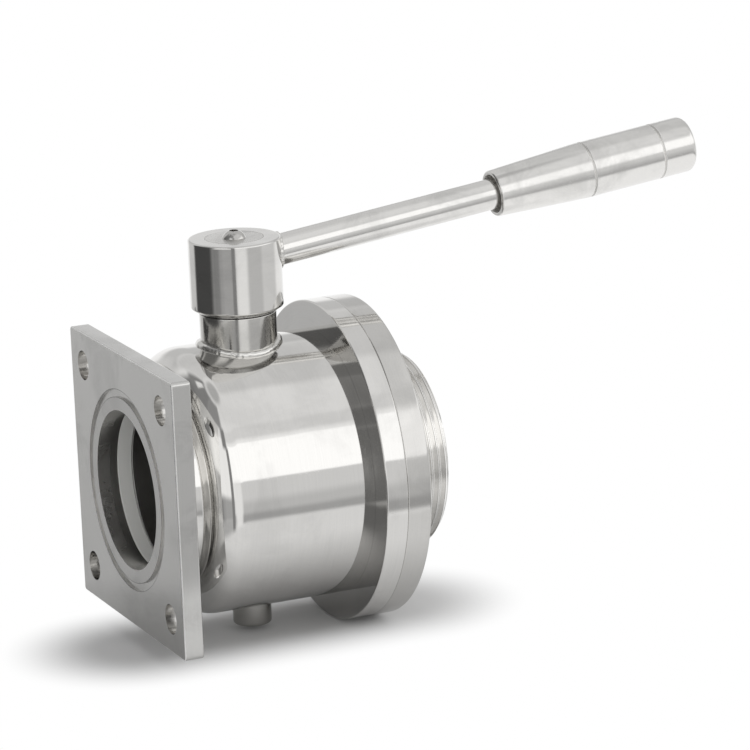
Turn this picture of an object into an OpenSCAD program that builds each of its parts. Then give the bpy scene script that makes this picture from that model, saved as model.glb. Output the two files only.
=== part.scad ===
// Sanitary ball valve with a square inlet flange and a threaded outlet, millimetres.
// +X is the flow, from the square flange to the thread. +Z is up the stem to the lever.
// The origin is the centre of the square flange's front face. The valve stands open.

/* [Flow passage] */
// Diameter of the waterway through flange, seats, ball and outlet
bore_d = 48; // [46:0.1:48.5]
// Diameter of the ball
ball_d = 72.8; // [72:0.1:76]

/* [Square flange] */
// Side of the square flange
plate_w = 83.4; // [80:0.1:100]
// Thickness of the square flange
plate_t = 6; // [5:0.1:10]
// Radius of the square flange's corners
plate_corner_r = 2.5; // [0.5:0.1:8]
// Distance between neighbouring bolt holes
hole_spacing = 63; // [60:0.1:68]
// Diameter of the bolt holes
hole_d = 9; // [6:0.1:10]
// Chamfer at the back of a bolt hole, under the nut
hole_chamfer = 0.6; // [0.2:0.1:1]
// Inner diameter of the gasket groove in the front face
groove_id = 56.1; // [54:0.1:58]
// Width of the gasket groove
groove_w = 2.3; // [1.5:0.1:3]
// Depth of the gasket groove
groove_depth = 0.8; // [0.5:0.1:1.5]
// Depth to which the neck is let into the back of the square flange
neck_let_in = 2; // [1:0.1:3]

/* [Body shell] */
// Thickness of the wall at the end of the neck, which the inlet seat bears on
neck_floor = 2.5; // [1.5:0.1:4]
// Thickness of the neck's wall round the inlet seat
neck_wall = 2.45; // [2:0.05:3]
// Visible length of the neck behind the square flange
neck_len = 6.7; // [5.5:0.1:8]
// Radius of the shell's rounded shoulder
shoulder_r = 9.3; // [6:0.1:12]
// Radius of the weld fillet between square flange and neck
neck_weld = 1.4; // [0.5:0.1:2.5]
// Thickness of the shell's wall
wall = 2.8; // [2.5:0.1:4]
// Gap between the ball and the shell
ball_gap = 1.1; // [0.8:0.1:2]
// Width of both round flanges outside the shell
rim_w = 8.5; // [8:0.1:12]
// Thickness of the shell's round flange
body_flange_t = 6.8; // [6:0.1:9]
// Chamfer on the rims of both round flanges
rim_chamfer = 0.5; // [0.2:0.1:1]

/* [End flange and outlet] */
// Thickness of the end flange
end_flange_t = 7.6; // [7:0.1:10]
// Length of the pilot that centres the end flange in the shell
pilot_len = 5.7; // [5:0.1:6.2]
// Depth of the outlet seat's floor behind the joint of the two flanges
seat_recess = 0.3; // [0:0.1:1]
// Thickness of the web between outlet seat and spigot
end_web = 3; // [2:0.1:3.2]
// Outer diameter of the outlet thread
thread_d = 59.6; // [58:0.1:66]
// Length of the spigot outside the end flange
spigot_len = 15; // [12:0.1:25]
// Length of the relief between end flange and thread
relief_len = 2; // [1:0.1:3]
// Depth of the relief below the thread's crests
relief_depth = 1.6; // [1:0.1:2]
// Wall of the spigot's foot inside the end flange
spigot_foot_wall = 3; // [2:0.1:4]
// Chamfer at the spigot's mouth
spigot_chamfer = 1.2; // [0.5:0.1:1.5]

/* [Flange screws] */
// Number of cap screws that hold the end flange
screw_count = 6; // [4:1:8]
// Thread diameter of a cap screw
screw_d = 5; // [4:0.5:5]
// Length of a cap screw under its head
screw_len = 8; // [7:0.5:8.5]
// Diameter of a cap screw's head
screw_head_d = 8.5; // [7:0.1:9]
// Height of a cap screw's head
screw_head_h = 3.5; // [2.8:0.1:4]
// Depth of the counterbore for a cap screw's head
screw_sink = 4.4; // [4.1:0.1:5]
// Width across flats of a cap screw's socket
screw_hex = 3; // [2:0.5:4]
// Depth of a cap screw's socket
screw_hex_depth = 1.8; // [1:0.1:2.2]

/* [Seats and static seals] */
// Radial width of a seat ring
seat_w = 3.5; // [3:0.1:4]
// Length of a seat ring at the waterway, from its floor to the ball
seat_len = 4.4; // [3.5:0.1:5.5]
// Length of a seat ring at its outside
seat_outer_len = 6.5; // [5.5:0.1:6.6]
// Section of the O-ring behind each seat
seat_ring_d = 1.4; // [1:0.1:1.6]
// Section of the O-ring between shell and end flange
body_ring_d = 2; // [1.5:0.1:2.4]

/* [Stem and tower] */
// Outer diameter of the stem tower
tower_d = 23; // [22.5:0.1:26]
// Height of the stem tower above the shell
tower_h = 9.4; // [9.2:0.1:14]
// Width of the weld round the tower's foot
tower_weld = 1.1; // [0.5:0.1:1.5]
// Diameter of the stem in the tower
stem_d = 13; // [12.8:0.1:13.4]
// Diameter of the collar that keeps the stem from blowing out
collar_d = 18; // [17.5:0.1:18.4]
// Thickness of the stem's collar
collar_t = 2.8; // [2:0.1:3]
// Gap between the collar and the top of the ball
collar_gap = 0.6; // [0.4:0.1:0.8]
// Thickness of the thrust washer above the collar
thrust_t = 1.4; // [1:0.1:1.6]
// Thickness of the stem's tang across the slot of the ball
tang_t = 8.8; // [7:0.1:10]
// Depth of the slot in the ball
slot_depth = 6.9; // [5:0.1:8]
// Section of the two O-rings on the stem
stem_ring_d = 1.6; // [1.4:0.1:1.7]
// Wall of the guide bush at the top of the tower
bush_wall = 1; // [0.8:0.1:1.2]
// Height of the guide bush
bush_h = 3; // [2.6:0.1:3.2]
// Square of the stem inside the hub, across flats
drive_w = 9; // [8:0.1:9]

/* [Travel stop] */
// Diameter of the stop pin under the hub
stop_d = 1.9; // [1.5:0.1:2]
// Depth of the stop pin's track in the tower
stop_track_depth = 2.2; // [1.5:0.1:2.5]
// Depth to which the stop pin is pressed into the hub
stop_set = 4; // [3:0.1:6]
// Turn of the lever between open and closed, degrees
lever_turn = 90; // [80:1:90]
// Bearing of the stop pin from the lever, degrees
stop_bearing = 135; // [120:1:150]

/* [Lower bearing] */
// Diameter of the trunnion pin where it leaves the shell
trunnion_d = 11.7; // [10:0.1:14]
// Length of the trunnion pin below the shell
trunnion_out = 6.8; // [4:0.1:12]
// Rounding of the trunnion pin's lower edge
trunnion_round = 0.8; // [0.3:0.1:2]
// Diameter of the journal inside the ball
journal_d = 8; // [6:0.1:8.4]
// Wall of the bearing bush round the journal
trunnion_bush_wall = 1.5; // [1:0.1:1.8]
// Depth of the pivot hole in the ball
pivot_depth = 6.4; // [5:0.1:8]

/* [Hub] */
// Diameter of the lever's hub
hub_d = 27.7; // [27:0.1:34]
// Height of the lever's hub
hub_h = 22.15; // [21.5:0.05:28]
// Gap between tower and hub
hub_gap = 0.2; // [0.2:0.05:0.5]
// Chamfer on the hub's top edge
hub_top_chamfer = 0.5; // [0.2:0.1:1.5]
// Height of the cone under the hub, which draws in to the tower's diameter
hub_cone_h = 1.5; // [0.5:0.1:4]
// Diameter of the washer let into the hub's top
hub_washer_d = 17.4; // [14:0.1:20]
// Thickness of the hub washer
hub_washer_t = 2; // [1:0.1:2.5]
// Web of the hub between the square hole and the washer
hub_web = 1.8; // [1.5:0.1:3]
// Thread diameter of the hub screw
hub_screw_d = 4; // [3:0.5:5]
// Length of the hub screw under its head
hub_screw_len = 12; // [10:0.5:16]
// Diameter of the hub screw's head
hub_screw_head_d = 7.2; // [6.5:0.1:9]
// Height of the hub screw's domed head
hub_screw_head_h = 2.3; // [2:0.1:3]
// Width across flats of the hub screw's socket
hub_hex = 2.5; // [2:0.5:3]
// Depth of the hub screw's socket
hub_hex_depth = 1.3; // [0.8:0.1:1.5]

/* [Lever] */
// Height above the waterway's axis at which the rod's axis crosses the stem's
lever_z = 64.8; // [64:0.1:66]
// Angle by which the lever rises from the hub
lever_tilt = 6.7; // [0:0.1:8]
// Diameter of the rod
rod_d = 9.5; // [8:0.1:10.5]
// Depth of the rod's socket in the hub
rod_set = 3.6; // [2:0.1:4.5]
// Distance of the grip's near end from the stem's axis, along the rod
grip_start = 85.6; // [70:0.1:120]
// Length of the grip
grip_len = 67; // [55:0.1:90]
// Diameter of the grip at its near end
grip_near_d = 14.2; // [14:0.1:17]
// Diameter of the grip's cylindrical part
grip_d = 17.2; // [17:0.1:22]
// Length of the grip's tapered part
taper_len = 31.4; // [20:0.1:40]
// Distance of the second turned line from the first
line_pitch = 24.2; // [10:0.1:25]
// Width of a turned line round the grip
line_w = 0.8; // [0.4:0.1:1.2]
// Depth of a turned line
line_depth = 0.4; // [0.2:0.1:0.8]
// Rounding of the grip's near rim
rim_round = 1.1; // [0.5:0.1:1.1]
// Rounding of the grip's far end
tip_round = 1.8; // [0.5:0.1:4]
// Depth of the recess in the grip's near end
recess_depth = 3; // [2:0.1:6]
// Width of the recess round the rod
recess_w = 1.2; // [0.8:0.1:1.2]
// Length of rod held inside the grip, behind the recess
rod_hold = 30; // [20:0.1:40]

/* [Hidden] */
$fn = 96;

// Fits: what is welded or screwed, what is laid in a groove, and what turns
weld_fit = 0.02;
seal_fit = 0.03;
turn_fit = 0.05;
slot_fit = 0.1;
// Cuts run this far past the faces that they break
past = 1;

// Radii
bore_r = bore_d / 2;
ball_r = ball_d / 2;
cavity_r = ball_r + ball_gap;
body_r = cavity_r + wall;
flange_r = body_r + rim_w;
seat_r = bore_r + seat_w;
pocket_r = seat_r + turn_fit;
neck_r = pocket_r + neck_wall;
pilot_r = cavity_r - turn_fit;
spigot_foot_r = bore_r + spigot_foot_wall;
thread_r = thread_d / 2;
pitch_r = (cavity_r + flange_r) / 2;

// Places along the flow
neck_x = plate_t - neck_let_in;
seat_x = neck_x + neck_floor;
ball_half = sqrt(pow(ball_r, 2) - pow(bore_r, 2));
stem_x = seat_x + seat_len + ball_half;
shoulder_x = plate_t + neck_len;
shell_x = shoulder_x + shoulder_r;
outlet_seat_x = stem_x + ball_half + seat_len;
joint_x = outlet_seat_x - seat_recess;
body_flange_x = joint_x - body_flange_t;
end_x = joint_x + end_flange_t;
foot_x = outlet_seat_x + end_web;
mouth_x = end_x + spigot_len;

// Grooves of the static seals, from the outer edge of the piece that carries them
seat_groove_x = 2.3;
seat_groove_w = seat_ring_d + 0.6;
body_groove_x = joint_x - 2.3;
body_groove_w = body_ring_d + 0.7;

// Heights along the stem
collar_z = ball_r + collar_gap;
thrust_z = collar_z + collar_t + turn_fit;
step_z = thrust_z + thrust_t + turn_fit;
tower_z = body_r + tower_h;
bush_z = tower_z - bush_h;
ring_inset = 1.6;
slot_z = ball_r - slot_depth;
tang_z = slot_z + 0.3;
hub_z = tower_z + hub_gap;
hub_top_z = hub_z + hub_h;
hub_seat_z = hub_top_z - hub_washer_t;
drive_top_z = hub_seat_z - hub_web;
stem_r = stem_d / 2;
hub_r = hub_d / 2;
stem_groove_w = stem_ring_d + 0.2;
drive_fit = 0.05;

// Travel stop: the track lies midway between the guide bush and the tower's outside
bush_r = stem_r + turn_fit + bush_wall;
track_r = (bush_r + tower_d / 2) / 2;
track_w = stop_d + 0.3;
// The pin stops this far short of the end of its track
stop_play = 0.2;

// Lower bearing
trunnion_r = trunnion_d / 2;
trunnion_z = body_r + trunnion_out;
trunnion_shoulder_z = cavity_r - 0.3;
pivot_z = ball_r - pivot_depth;
pivot_r = journal_d / 2 + turn_fit + trunnion_bush_wall + weld_fit;

// A revolved shape whose profile is drawn as [radius, distance along the flow]
module about_flow() {
    rotate([0, 90, 0])
        rotate_extrude()
            children();
}

// A rectangle in a profile, from one radius and place to another
module band(r0, r1, x0, x1) {
    translate([r0, x0])
        square([r1 - r0, x1 - x0]);
}

// A cylinder along the flow
module flow_rod(r, x0, x1) {
    translate([x0, 0, 0])
        rotate([0, 90, 0])
            cylinder(r = r, h = x1 - x0);
}

// The corner that a chamfer takes off a rim, as a triangle in a profile
module rim_cut(r, x, size, side) {
    polygon([[r + past, x - side * past], [r - size - past, x - side * past],
        [r - size - past, x], [r - size, x], [r, x + side * size], [r + past, x + side * size]]);
}

// An O-ring that lies round the flow axis
module flow_ring(floor_r, ring_d, x) {
    about_flow()
        translate([floor_r + ring_d / 2, x])
            circle(d = ring_d, $fn = 48);
}

// The stem axis, the bolt circle and the lever as places for other shapes
module at_stem() {
    translate([stem_x, 0, 0])
        children();
}

module at_screws(x) {
    for (i = [0 : screw_count - 1])
        rotate([i * 360 / screw_count + 180 / screw_count, 0, 0])
            translate([x, 0, pitch_r])
                rotate([0, 90, 0])
                    children();
}

module along_lever(distance = 0) {
    translate([stem_x, 0, lever_z])
        rotate([0, 90 - lever_tilt, 0])
            translate([0, 0, distance])
                children();
}

// Square plate with rounded corners, four bolt holes and a gasket groove
module square_flange() {
    color("silver")
        difference() {
            rotate([90, 0, 90])
                linear_extrude(plate_t)
                    plate_outline();
            flow_rod(bore_r, -past, plate_t + past);
            flow_rod(neck_r + weld_fit, neck_x, plate_t + past);
            about_flow()
                band(groove_id / 2, groove_id / 2 + groove_w, -past, groove_depth);
            for (y = [-1, 1], z = [-1, 1])
                translate([0, y * hole_spacing / 2, z * hole_spacing / 2])
                    bolt_hole();
        }
}

module plate_outline() {
    inner = plate_w - 2 * plate_corner_r;
    square([plate_w, inner], center = true);
    square([inner, plate_w], center = true);
    for (y = [-1, 1], z = [-1, 1])
        translate([y * inner / 2, z * inner / 2])
            circle(r = plate_corner_r);
}

module bolt_hole() {
    wide_r = hole_d / 2 + hole_chamfer;
    rotate([0, 90, 0]) {
        translate([0, 0, -past])
            cylinder(d = hole_d, h = plate_t + 2 * past);
        translate([0, 0, plate_t - hole_chamfer])
            cylinder(r1 = hole_d / 2, r2 = wide_r, h = hole_chamfer);
    }
}

// Turned shell: neck with the seat pocket, rounded shoulder, barrel and round flange
module valve_body() {
    color("lightgray")
        difference() {
            about_flow()
                difference() {
                    body_outside();
                    body_inside();
                }
            at_stem()
                cylinder(d = tower_d + 2 * weld_fit, h = body_r + past);
            at_stem()
                translate([0, 0, -body_r - past])
                    cylinder(r = trunnion_r + weld_fit, h = body_r);
            at_screws(joint_x - screw_tap_depth)
                cylinder(d = screw_d + 2 * weld_fit, h = screw_tap_depth + past);
        }
}

// Depth of the tapped holes: the screws' reach and half a millimetre for their points
screw_tap_depth = screw_len - (end_flange_t - screw_sink) + 0.5;

module body_outside() {
    band(0, neck_r, neck_x, shell_x);
    band(0, body_r - shoulder_r, shoulder_x, shell_x);
    translate([body_r - shoulder_r, shell_x])
        circle(r = shoulder_r);
    band(0, body_r, shell_x, joint_x);
    difference() {
        band(0, flange_r, body_flange_x, joint_x);
        rim_cut(flange_r, body_flange_x, rim_chamfer, 1);
    }
    difference() {
        band(0, neck_r + neck_weld, plate_t, plate_t + neck_weld);
        translate([neck_r + neck_weld, plate_t + neck_weld])
            circle(r = neck_weld);
    }
}

module body_inside() {
    band(-past, bore_r, neck_x - past, shell_x);
    band(-past, pocket_r, seat_x, shell_x);
    intersection() {
        band(0, pocket_r + 2 * wall, seat_x, stem_x);
        translate([0, stem_x])
            circle(r = ball_r + ball_gap - 0.2);
    }
    band(-past, body_r - shoulder_r, shoulder_x + wall, shell_x);
    translate([body_r - shoulder_r, shell_x])
        circle(r = shoulder_r - wall);
    band(-past, cavity_r, shell_x, joint_x + past);
}

// Tower welded into the shell, with the stem's bearing, seal and stop track
module stem_tower() {
    track_turn = lever_turn + 2 * stop_reach;
    color("silver")
        difference() {
            union() {
                at_stem()
                    cylinder(d = tower_d, h = tower_z);
                intersection() {
                    at_stem()
                        cylinder(d = tower_d + 2 * tower_weld, h = tower_z);
                    difference() {
                        flow_rod(body_r + tower_weld, 0, end_x);
                        flow_rod(body_r + weld_fit, -past, end_x + past);
                    }
                }
            }
            flow_rod(cavity_r, -past, end_x);
            at_stem() {
                cylinder(r = stem_r + turn_fit, h = tower_z + past);
                cylinder(d = collar_d + 0.6, h = step_z);
                translate([0, 0, bush_z])
                    cylinder(r = bush_r, h = bush_h + past);
                translate([0, 0, tower_z - stop_track_depth])
                    rotate([0, 0, stop_bearing - lever_turn - stop_reach])
                        rotate_extrude(angle = track_turn)
                            translate([track_r - track_w / 2, 0])
                                square([track_w, stop_track_depth + past]);
            }
        }
}

// Angle between the stop pin's middle and the end of its track
stop_reach = asin((stop_d / 2 + stop_play) / track_r);

// Round flange with pilot, outlet seat pocket, seal groove and sunk screw holes
module end_flange() {
    color("lightgray")
        difference() {
            about_flow()
                end_flange_profile();
            at_screws(joint_x)
                union() {
                    translate([0, 0, -past])
                        cylinder(d = screw_d + 0.5, h = end_flange_t + 2 * past);
                    translate([0, 0, end_flange_t - screw_sink])
                        cylinder(d = screw_head_d + 0.7, h = screw_sink + past);
                }
        }
}

module end_flange_profile() {
    difference() {
        union() {
            band(bore_r, pilot_r, joint_x - pilot_len, end_x);
            band(bore_r, flange_r, joint_x, end_x);
        }
        band(0, pocket_r, joint_x - pilot_len - past, outlet_seat_x);
        band(0, spigot_foot_r + weld_fit, foot_x, end_x + past);
        band(pilot_r - body_ring_d - seal_fit, pilot_r + past,
            body_groove_x - body_groove_w / 2, body_groove_x + body_groove_w / 2);
        rim_cut(flange_r, end_x, rim_chamfer, -1);
    }
}

// Spigot with the outlet thread, drawn at the thread's crests
module threaded_spigot() {
    color("silver")
        about_flow()
            difference() {
                union() {
                    band(bore_r, spigot_foot_r, foot_x, end_x);
                    band(bore_r, thread_r - relief_depth, end_x, mouth_x);
                    band(bore_r, thread_r, end_x + relief_len, mouth_x);
                }
                rim_cut(thread_r, mouth_x, spigot_chamfer, -1);
            }
}

// Low-headed cap screws, set from the outlet side
module cap_screws() {
    color("dimgray")
        at_screws(joint_x + end_flange_t - screw_sink)
            difference() {
                union() {
                    translate([0, 0, -screw_len])
                        cylinder(d = screw_d, h = screw_len + screw_head_h / 2);
                    cylinder(d = screw_head_d, h = screw_head_h);
                }
                translate([0, 0, screw_head_h - screw_hex_depth])
                    hex_socket(screw_hex, screw_hex_depth);
            }
}

module hex_socket(flats, depth) {
    cylinder(d = flats / cos(30), h = depth + past, $fn = 6);
}

// O-ring in the pilot of the end flange
module body_o_ring() {
    color("black")
        flow_ring(pilot_r - body_ring_d - seal_fit / 2, body_ring_d, body_groove_x);
}

// Seat ring with a spherical face and an O-ring groove, for the inlet side
module seat_ring() {
    difference() {
        about_flow()
            difference() {
                band(bore_r, seat_r, 0, seat_outer_len);
                band(seat_r - seat_ring_d, seat_r + past, seat_groove_x - seat_groove_w / 2,
                    seat_groove_x + seat_groove_w / 2);
            }
        translate([seat_len + ball_half, 0, 0])
            sphere(r = ball_r + turn_fit);
    }
}

module inlet_seat() {
    color("white")
        translate([seat_x, 0, 0])
            seat_ring();
}

module outlet_seat() {
    color("white")
        translate([outlet_seat_x, 0, 0])
            mirror([1, 0, 0])
                seat_ring();
}

module inlet_seat_o_ring() {
    color("black")
        flow_ring(seat_r - seat_ring_d + seal_fit / 2, seat_ring_d, seat_x + seat_groove_x);
}

module outlet_seat_o_ring() {
    color("black")
        flow_ring(seat_r - seat_ring_d + seal_fit / 2, seat_ring_d, outlet_seat_x - seat_groove_x);
}

// Pin welded through the bottom of the shell, with the ball's lower journal
module trunnion_pin() {
    color("gray")
        at_stem()
            rotate([180, 0, 0])
                rotate_extrude()
                    difference() {
                        union() {
                            band(0, journal_d / 2, pivot_z + 0.5, trunnion_z);
                            band(0, trunnion_r, trunnion_shoulder_z, trunnion_z);
                        }
                        difference() {
                            band(trunnion_r - trunnion_round, trunnion_r + past,
                                trunnion_z - trunnion_round, trunnion_z + past);
                            translate([trunnion_r - trunnion_round, trunnion_z - trunnion_round])
                                circle(r = trunnion_round);
                        }
                    }
}

// Sleeve that guides the stem in the top of the tower
module guide_bush() {
    color("white")
        at_stem()
            translate([0, 0, bush_z + turn_fit])
                difference() {
                    cylinder(r = bush_r - weld_fit, h = bush_h - 2 * turn_fit);
                    translate([0, 0, -past])
                        cylinder(r = stem_r + turn_fit, h = bush_h + 2 * past);
                }
}

// Washer between the stem's collar and the tower
module thrust_washer() {
    color("white")
        at_stem()
            translate([0, 0, thrust_z])
                difference() {
                    cylinder(d = collar_d + 0.5, h = thrust_t);
                    translate([0, 0, -past])
                        cylinder(r = stem_r + turn_fit, h = thrust_t + 2 * past);
                }
}

// Ball with its waterway, the slot for the stem and the lower pivot hole
module ball() {
    slot_w = tang_t + 2 * slot_fit;
    color("whitesmoke")
        at_stem()
            difference() {
                sphere(r = ball_r);
                flow_rod(bore_r, -ball_r, ball_r);
                translate([-slot_w / 2, -ball_r, slot_z])
                    cube([slot_w, ball_d, ball_r]);
                translate([0, 0, -ball_r - past])
                    cylinder(r = pivot_r, h = pivot_depth + past);
            }
}

// Bearing sleeve pressed into the ball round the lower journal
module trunnion_bush() {
    bush_top = pivot_z + 0.1;
    bush_end = sqrt(pow(ball_r, 2) - pow(pivot_r, 2));
    color("white")
        at_stem()
            translate([0, 0, -bush_end])
                difference() {
                    cylinder(r = pivot_r - weld_fit, h = bush_end - bush_top);
                    translate([0, 0, -past])
                        cylinder(r = journal_d / 2 + turn_fit, h = pivot_depth + 2 * past);
                }
}

// Stem: tang in the ball's slot, collar, sealed journal and square for the hub
module stem() {
    color("gray")
        at_stem()
            difference() {
                union() {
                    intersection() {
                        translate([0, 0, tang_z])
                            cylinder(d = collar_d, h = collar_z + collar_t / 2 - tang_z);
                        translate([-tang_t / 2, -collar_d, 0])
                            cube([tang_t, 2 * collar_d, tower_z]);
                    }
                    translate([0, 0, collar_z])
                        cylinder(d = collar_d, h = collar_t);
                    translate([0, 0, collar_z])
                        cylinder(r = stem_r, h = hub_z - collar_z);
                    translate([-drive_w / 2, -drive_w / 2, collar_z])
                        cube([drive_w, drive_w, drive_top_z - collar_z]);
                }
                for (z = [step_z + ring_inset, bush_z - ring_inset])
                    translate([0, 0, z - stem_groove_w / 2])
                        difference() {
                            cylinder(r = stem_r + past, h = stem_groove_w);
                            cylinder(r = stem_r - stem_ring_d, h = stem_groove_w);
                        }
                translate([0, 0, hub_top_z - hub_screw_len - 0.5])
                    cylinder(d = hub_screw_d + 2 * weld_fit, h = hub_screw_len + 1);
            }
}

module stem_o_ring(z) {
    color("black")
        at_stem()
            translate([0, 0, z])
                rotate_extrude()
                    translate([stem_r - stem_ring_d / 2 + seal_fit / 2, 0])
                        circle(d = stem_ring_d, $fn = 48);
}

module lower_stem_o_ring() {
    stem_o_ring(step_z + ring_inset);
}

module upper_stem_o_ring() {
    stem_o_ring(bush_z - ring_inset);
}

// Pin pressed into the hub, which runs in the tower's track and ends the travel
module stop_pin() {
    pin_z = tower_z - stop_track_depth + 0.3;
    color("gray")
        at_stem()
            rotate([0, 0, stop_bearing])
                translate([track_r, 0, pin_z])
                    cylinder(d = stop_d, h = hub_z + stop_set - 0.1 - pin_z);
}

// Hub on the stem's square, with the rod's socket and the washer's recess
module lever_hub() {
    drive_hole = drive_w + 2 * drive_fit;
    color("silver")
        difference() {
            at_stem()
                rotate_extrude()
                    polygon([[0, hub_z], [tower_d / 2, hub_z],
                        [hub_r, hub_z + hub_cone_h], [hub_r, hub_top_z - hub_top_chamfer],
                        [hub_r - hub_top_chamfer, hub_top_z], [0, hub_top_z]]);
            at_stem() {
                translate([-drive_hole / 2, -drive_hole / 2, hub_z - past])
                    cube([drive_hole, drive_hole, drive_top_z + 0.3 - hub_z + past]);
                cylinder(d = hub_screw_d + 0.4, h = hub_top_z);
                translate([0, 0, hub_seat_z])
                    cylinder(d = hub_washer_d + 2 * turn_fit, h = hub_washer_t + past);
                rotate([0, 0, stop_bearing])
                    translate([track_r, 0, hub_z - past])
                        cylinder(d = stop_d + 2 * weld_fit, h = stop_set + past);
            }
            along_lever(hub_r - rod_set)
                cylinder(d = rod_d + 2 * weld_fit, h = hub_r);
        }
}

module hub_washer() {
    color("gainsboro")
        at_stem()
            translate([0, 0, hub_seat_z])
                difference() {
                    cylinder(d = hub_washer_d, h = hub_washer_t);
                    translate([0, 0, -past])
                        cylinder(d = hub_screw_d + 0.3, h = hub_washer_t + 2 * past);
                }
}

// Domed screw that holds the hub down on the stem
module hub_screw() {
    dome_r = (pow(hub_screw_head_d / 2, 2) + pow(hub_screw_head_h, 2)) / (2 * hub_screw_head_h);
    color("lightgray")
        at_stem()
            translate([0, 0, hub_top_z])
                difference() {
                    union() {
                        intersection() {
                            translate([0, 0, hub_screw_head_h - dome_r])
                                sphere(r = dome_r);
                            cylinder(d = hub_screw_head_d, h = dome_r);
                        }
                        translate([0, 0, -hub_screw_len])
                            cylinder(d = hub_screw_d, h = hub_screw_len + hub_screw_head_h / 3);
                    }
                    translate([0, 0, hub_screw_head_h - hub_hex_depth])
                        hex_socket(hub_hex, hub_hex_depth);
                }
}

module lever_rod() {
    rod_end = grip_start + recess_depth + rod_hold;
    color("gainsboro")
        along_lever(hub_r - rod_set + 0.1)
            cylinder(d = rod_d, h = rod_end - hub_r + rod_set - 0.1);
}

// Turned grip with a tapered neck, two turned lines and a recess round the rod
module lever_grip() {
    color("lightgray")
        along_lever(grip_start)
            rotate_extrude()
                grip_profile();
}

module grip_profile() {
    near_r = grip_near_d / 2;
    far_r = grip_d / 2;
    bore_end = recess_depth + rod_hold + 1;
    difference() {
        union() {
            polygon([[0, 0], [near_r - rim_round, 0], [near_r, rim_round],
                [far_r, taper_len], [far_r, grip_len - tip_round],
                [far_r - tip_round, grip_len], [0, grip_len]]);
            translate([near_r - rim_round, rim_round])
                circle(r = rim_round);
            translate([far_r - tip_round, grip_len - tip_round])
                circle(r = tip_round);
        }
        band(-past, rod_d / 2 + recess_w, -past, recess_depth);
        band(-past, rod_d / 2 + weld_fit, -past, bore_end);
        for (z = [taper_len, taper_len + line_pitch])
            polygon([[far_r - line_depth, z], [far_r + past, z - line_w / 2 * (1 + past / line_depth)],
                [far_r + past, z + line_w / 2 * (1 + past / line_depth)]]);
    }
}

square_flange();
valve_body();
stem_tower();
end_flange();
threaded_spigot();
cap_screws();
body_o_ring();
inlet_seat();
outlet_seat();
inlet_seat_o_ring();
outlet_seat_o_ring();
trunnion_pin();
guide_bush();
thrust_washer();
ball();
trunnion_bush();
stem();
lower_stem_o_ring();
upper_stem_o_ring();
stop_pin();
lever_hub();
hub_washer();
hub_screw();
lever_rod();
lever_grip();
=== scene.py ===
from functools import partial
from math import acos, asin, atan2, ceil, cos, degrees, hypot, pi, radians, sin, sqrt, tan

import bmesh
import bpy
from mathutils import Matrix, Vector


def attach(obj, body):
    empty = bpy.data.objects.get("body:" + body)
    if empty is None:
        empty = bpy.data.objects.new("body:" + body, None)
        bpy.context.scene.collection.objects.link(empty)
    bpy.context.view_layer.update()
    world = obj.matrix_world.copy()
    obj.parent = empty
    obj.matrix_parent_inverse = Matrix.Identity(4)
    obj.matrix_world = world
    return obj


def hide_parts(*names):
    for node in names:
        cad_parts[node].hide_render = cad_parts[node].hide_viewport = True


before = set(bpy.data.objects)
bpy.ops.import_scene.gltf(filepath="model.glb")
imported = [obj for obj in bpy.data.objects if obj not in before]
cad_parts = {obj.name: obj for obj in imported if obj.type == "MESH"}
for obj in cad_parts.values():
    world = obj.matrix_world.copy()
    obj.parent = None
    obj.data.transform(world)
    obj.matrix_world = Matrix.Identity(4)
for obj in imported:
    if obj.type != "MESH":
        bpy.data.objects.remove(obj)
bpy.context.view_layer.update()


# Square inlet flange.
# A sawn and satin-ground stainless plate with four bolt holes, a shallow gasket groove and
# a let-in behind for the neck of the shell, which is welded into it.

mm = 0.001
bore_r = 24
plate_w = 83.4
plate_t = 6
plate_corner_r = 1.1
plate_edge_break = 0.5
machined_break = 0.2
hole_spacing = 63
hole_r = 4.5
hole_back_chamfer = 0.6
groove_inner_r = 28.05
groove_outer_r = 30.35
groove_depth = 0.8
neck_hole_r = 30.02
neck_x = 4
past = 1

# Turned shapes are drawn about their own Z axis, and this turns that axis into the flow's
flow_axis = Matrix.Rotation(radians(90), 4, "Y")


def rounded_outline(corners):
    """Points of a closed outline from corners (across, along, rounding), all in millimetres.
    A guard point on both sides of each rounding keeps the flats beside it flat in the light."""
    points = []
    for i, corner in enumerate(corners):
        here = Vector(corner[:2])
        rounding = corner[2] if len(corner) > 2 else 0
        if rounding <= 0:
            points.append(here)
            continue
        back = Vector(corners[i - 1][:2]) - here
        ahead = Vector(corners[(i + 1) % len(corners)][:2]) - here
        room = 0.48 * min(back.length, ahead.length)
        back.normalize()
        ahead.normalize()
        half_angle = 0.5 * back.angle(ahead)
        reach = rounding / tan(half_angle)
        if reach > room:
            rounding *= room / reach
            reach = room
        guard = min(0.5 * rounding, room - reach)
        centre = here + (back + ahead).normalized() * (rounding / sin(half_angle))
        first = here + back * reach - centre
        last = here + ahead * reach - centre
        turn = atan2(first.x * last.y - first.y * last.x, first.dot(last))
        steps = max(2, ceil(abs(degrees(turn)) / 18))
        if guard > 0.01:
            points.append(here + back * (reach + guard))
        for step in range(steps + 1):
            points.append(centre + Matrix.Rotation(turn * step / steps, 2) @ first)
        if guard > 0.01:
            points.append(here + ahead * (reach + guard))
    return points


def arc(centre, radius, start, end, steps):
    """Corners along an arc in a profile, from one angle to another in degrees."""
    turns = [radians(start + (end - start) * i / steps) for i in range(steps + 1)]
    return [(centre[0] + radius * cos(t), centre[1] + radius * sin(t)) for t in turns]


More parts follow.
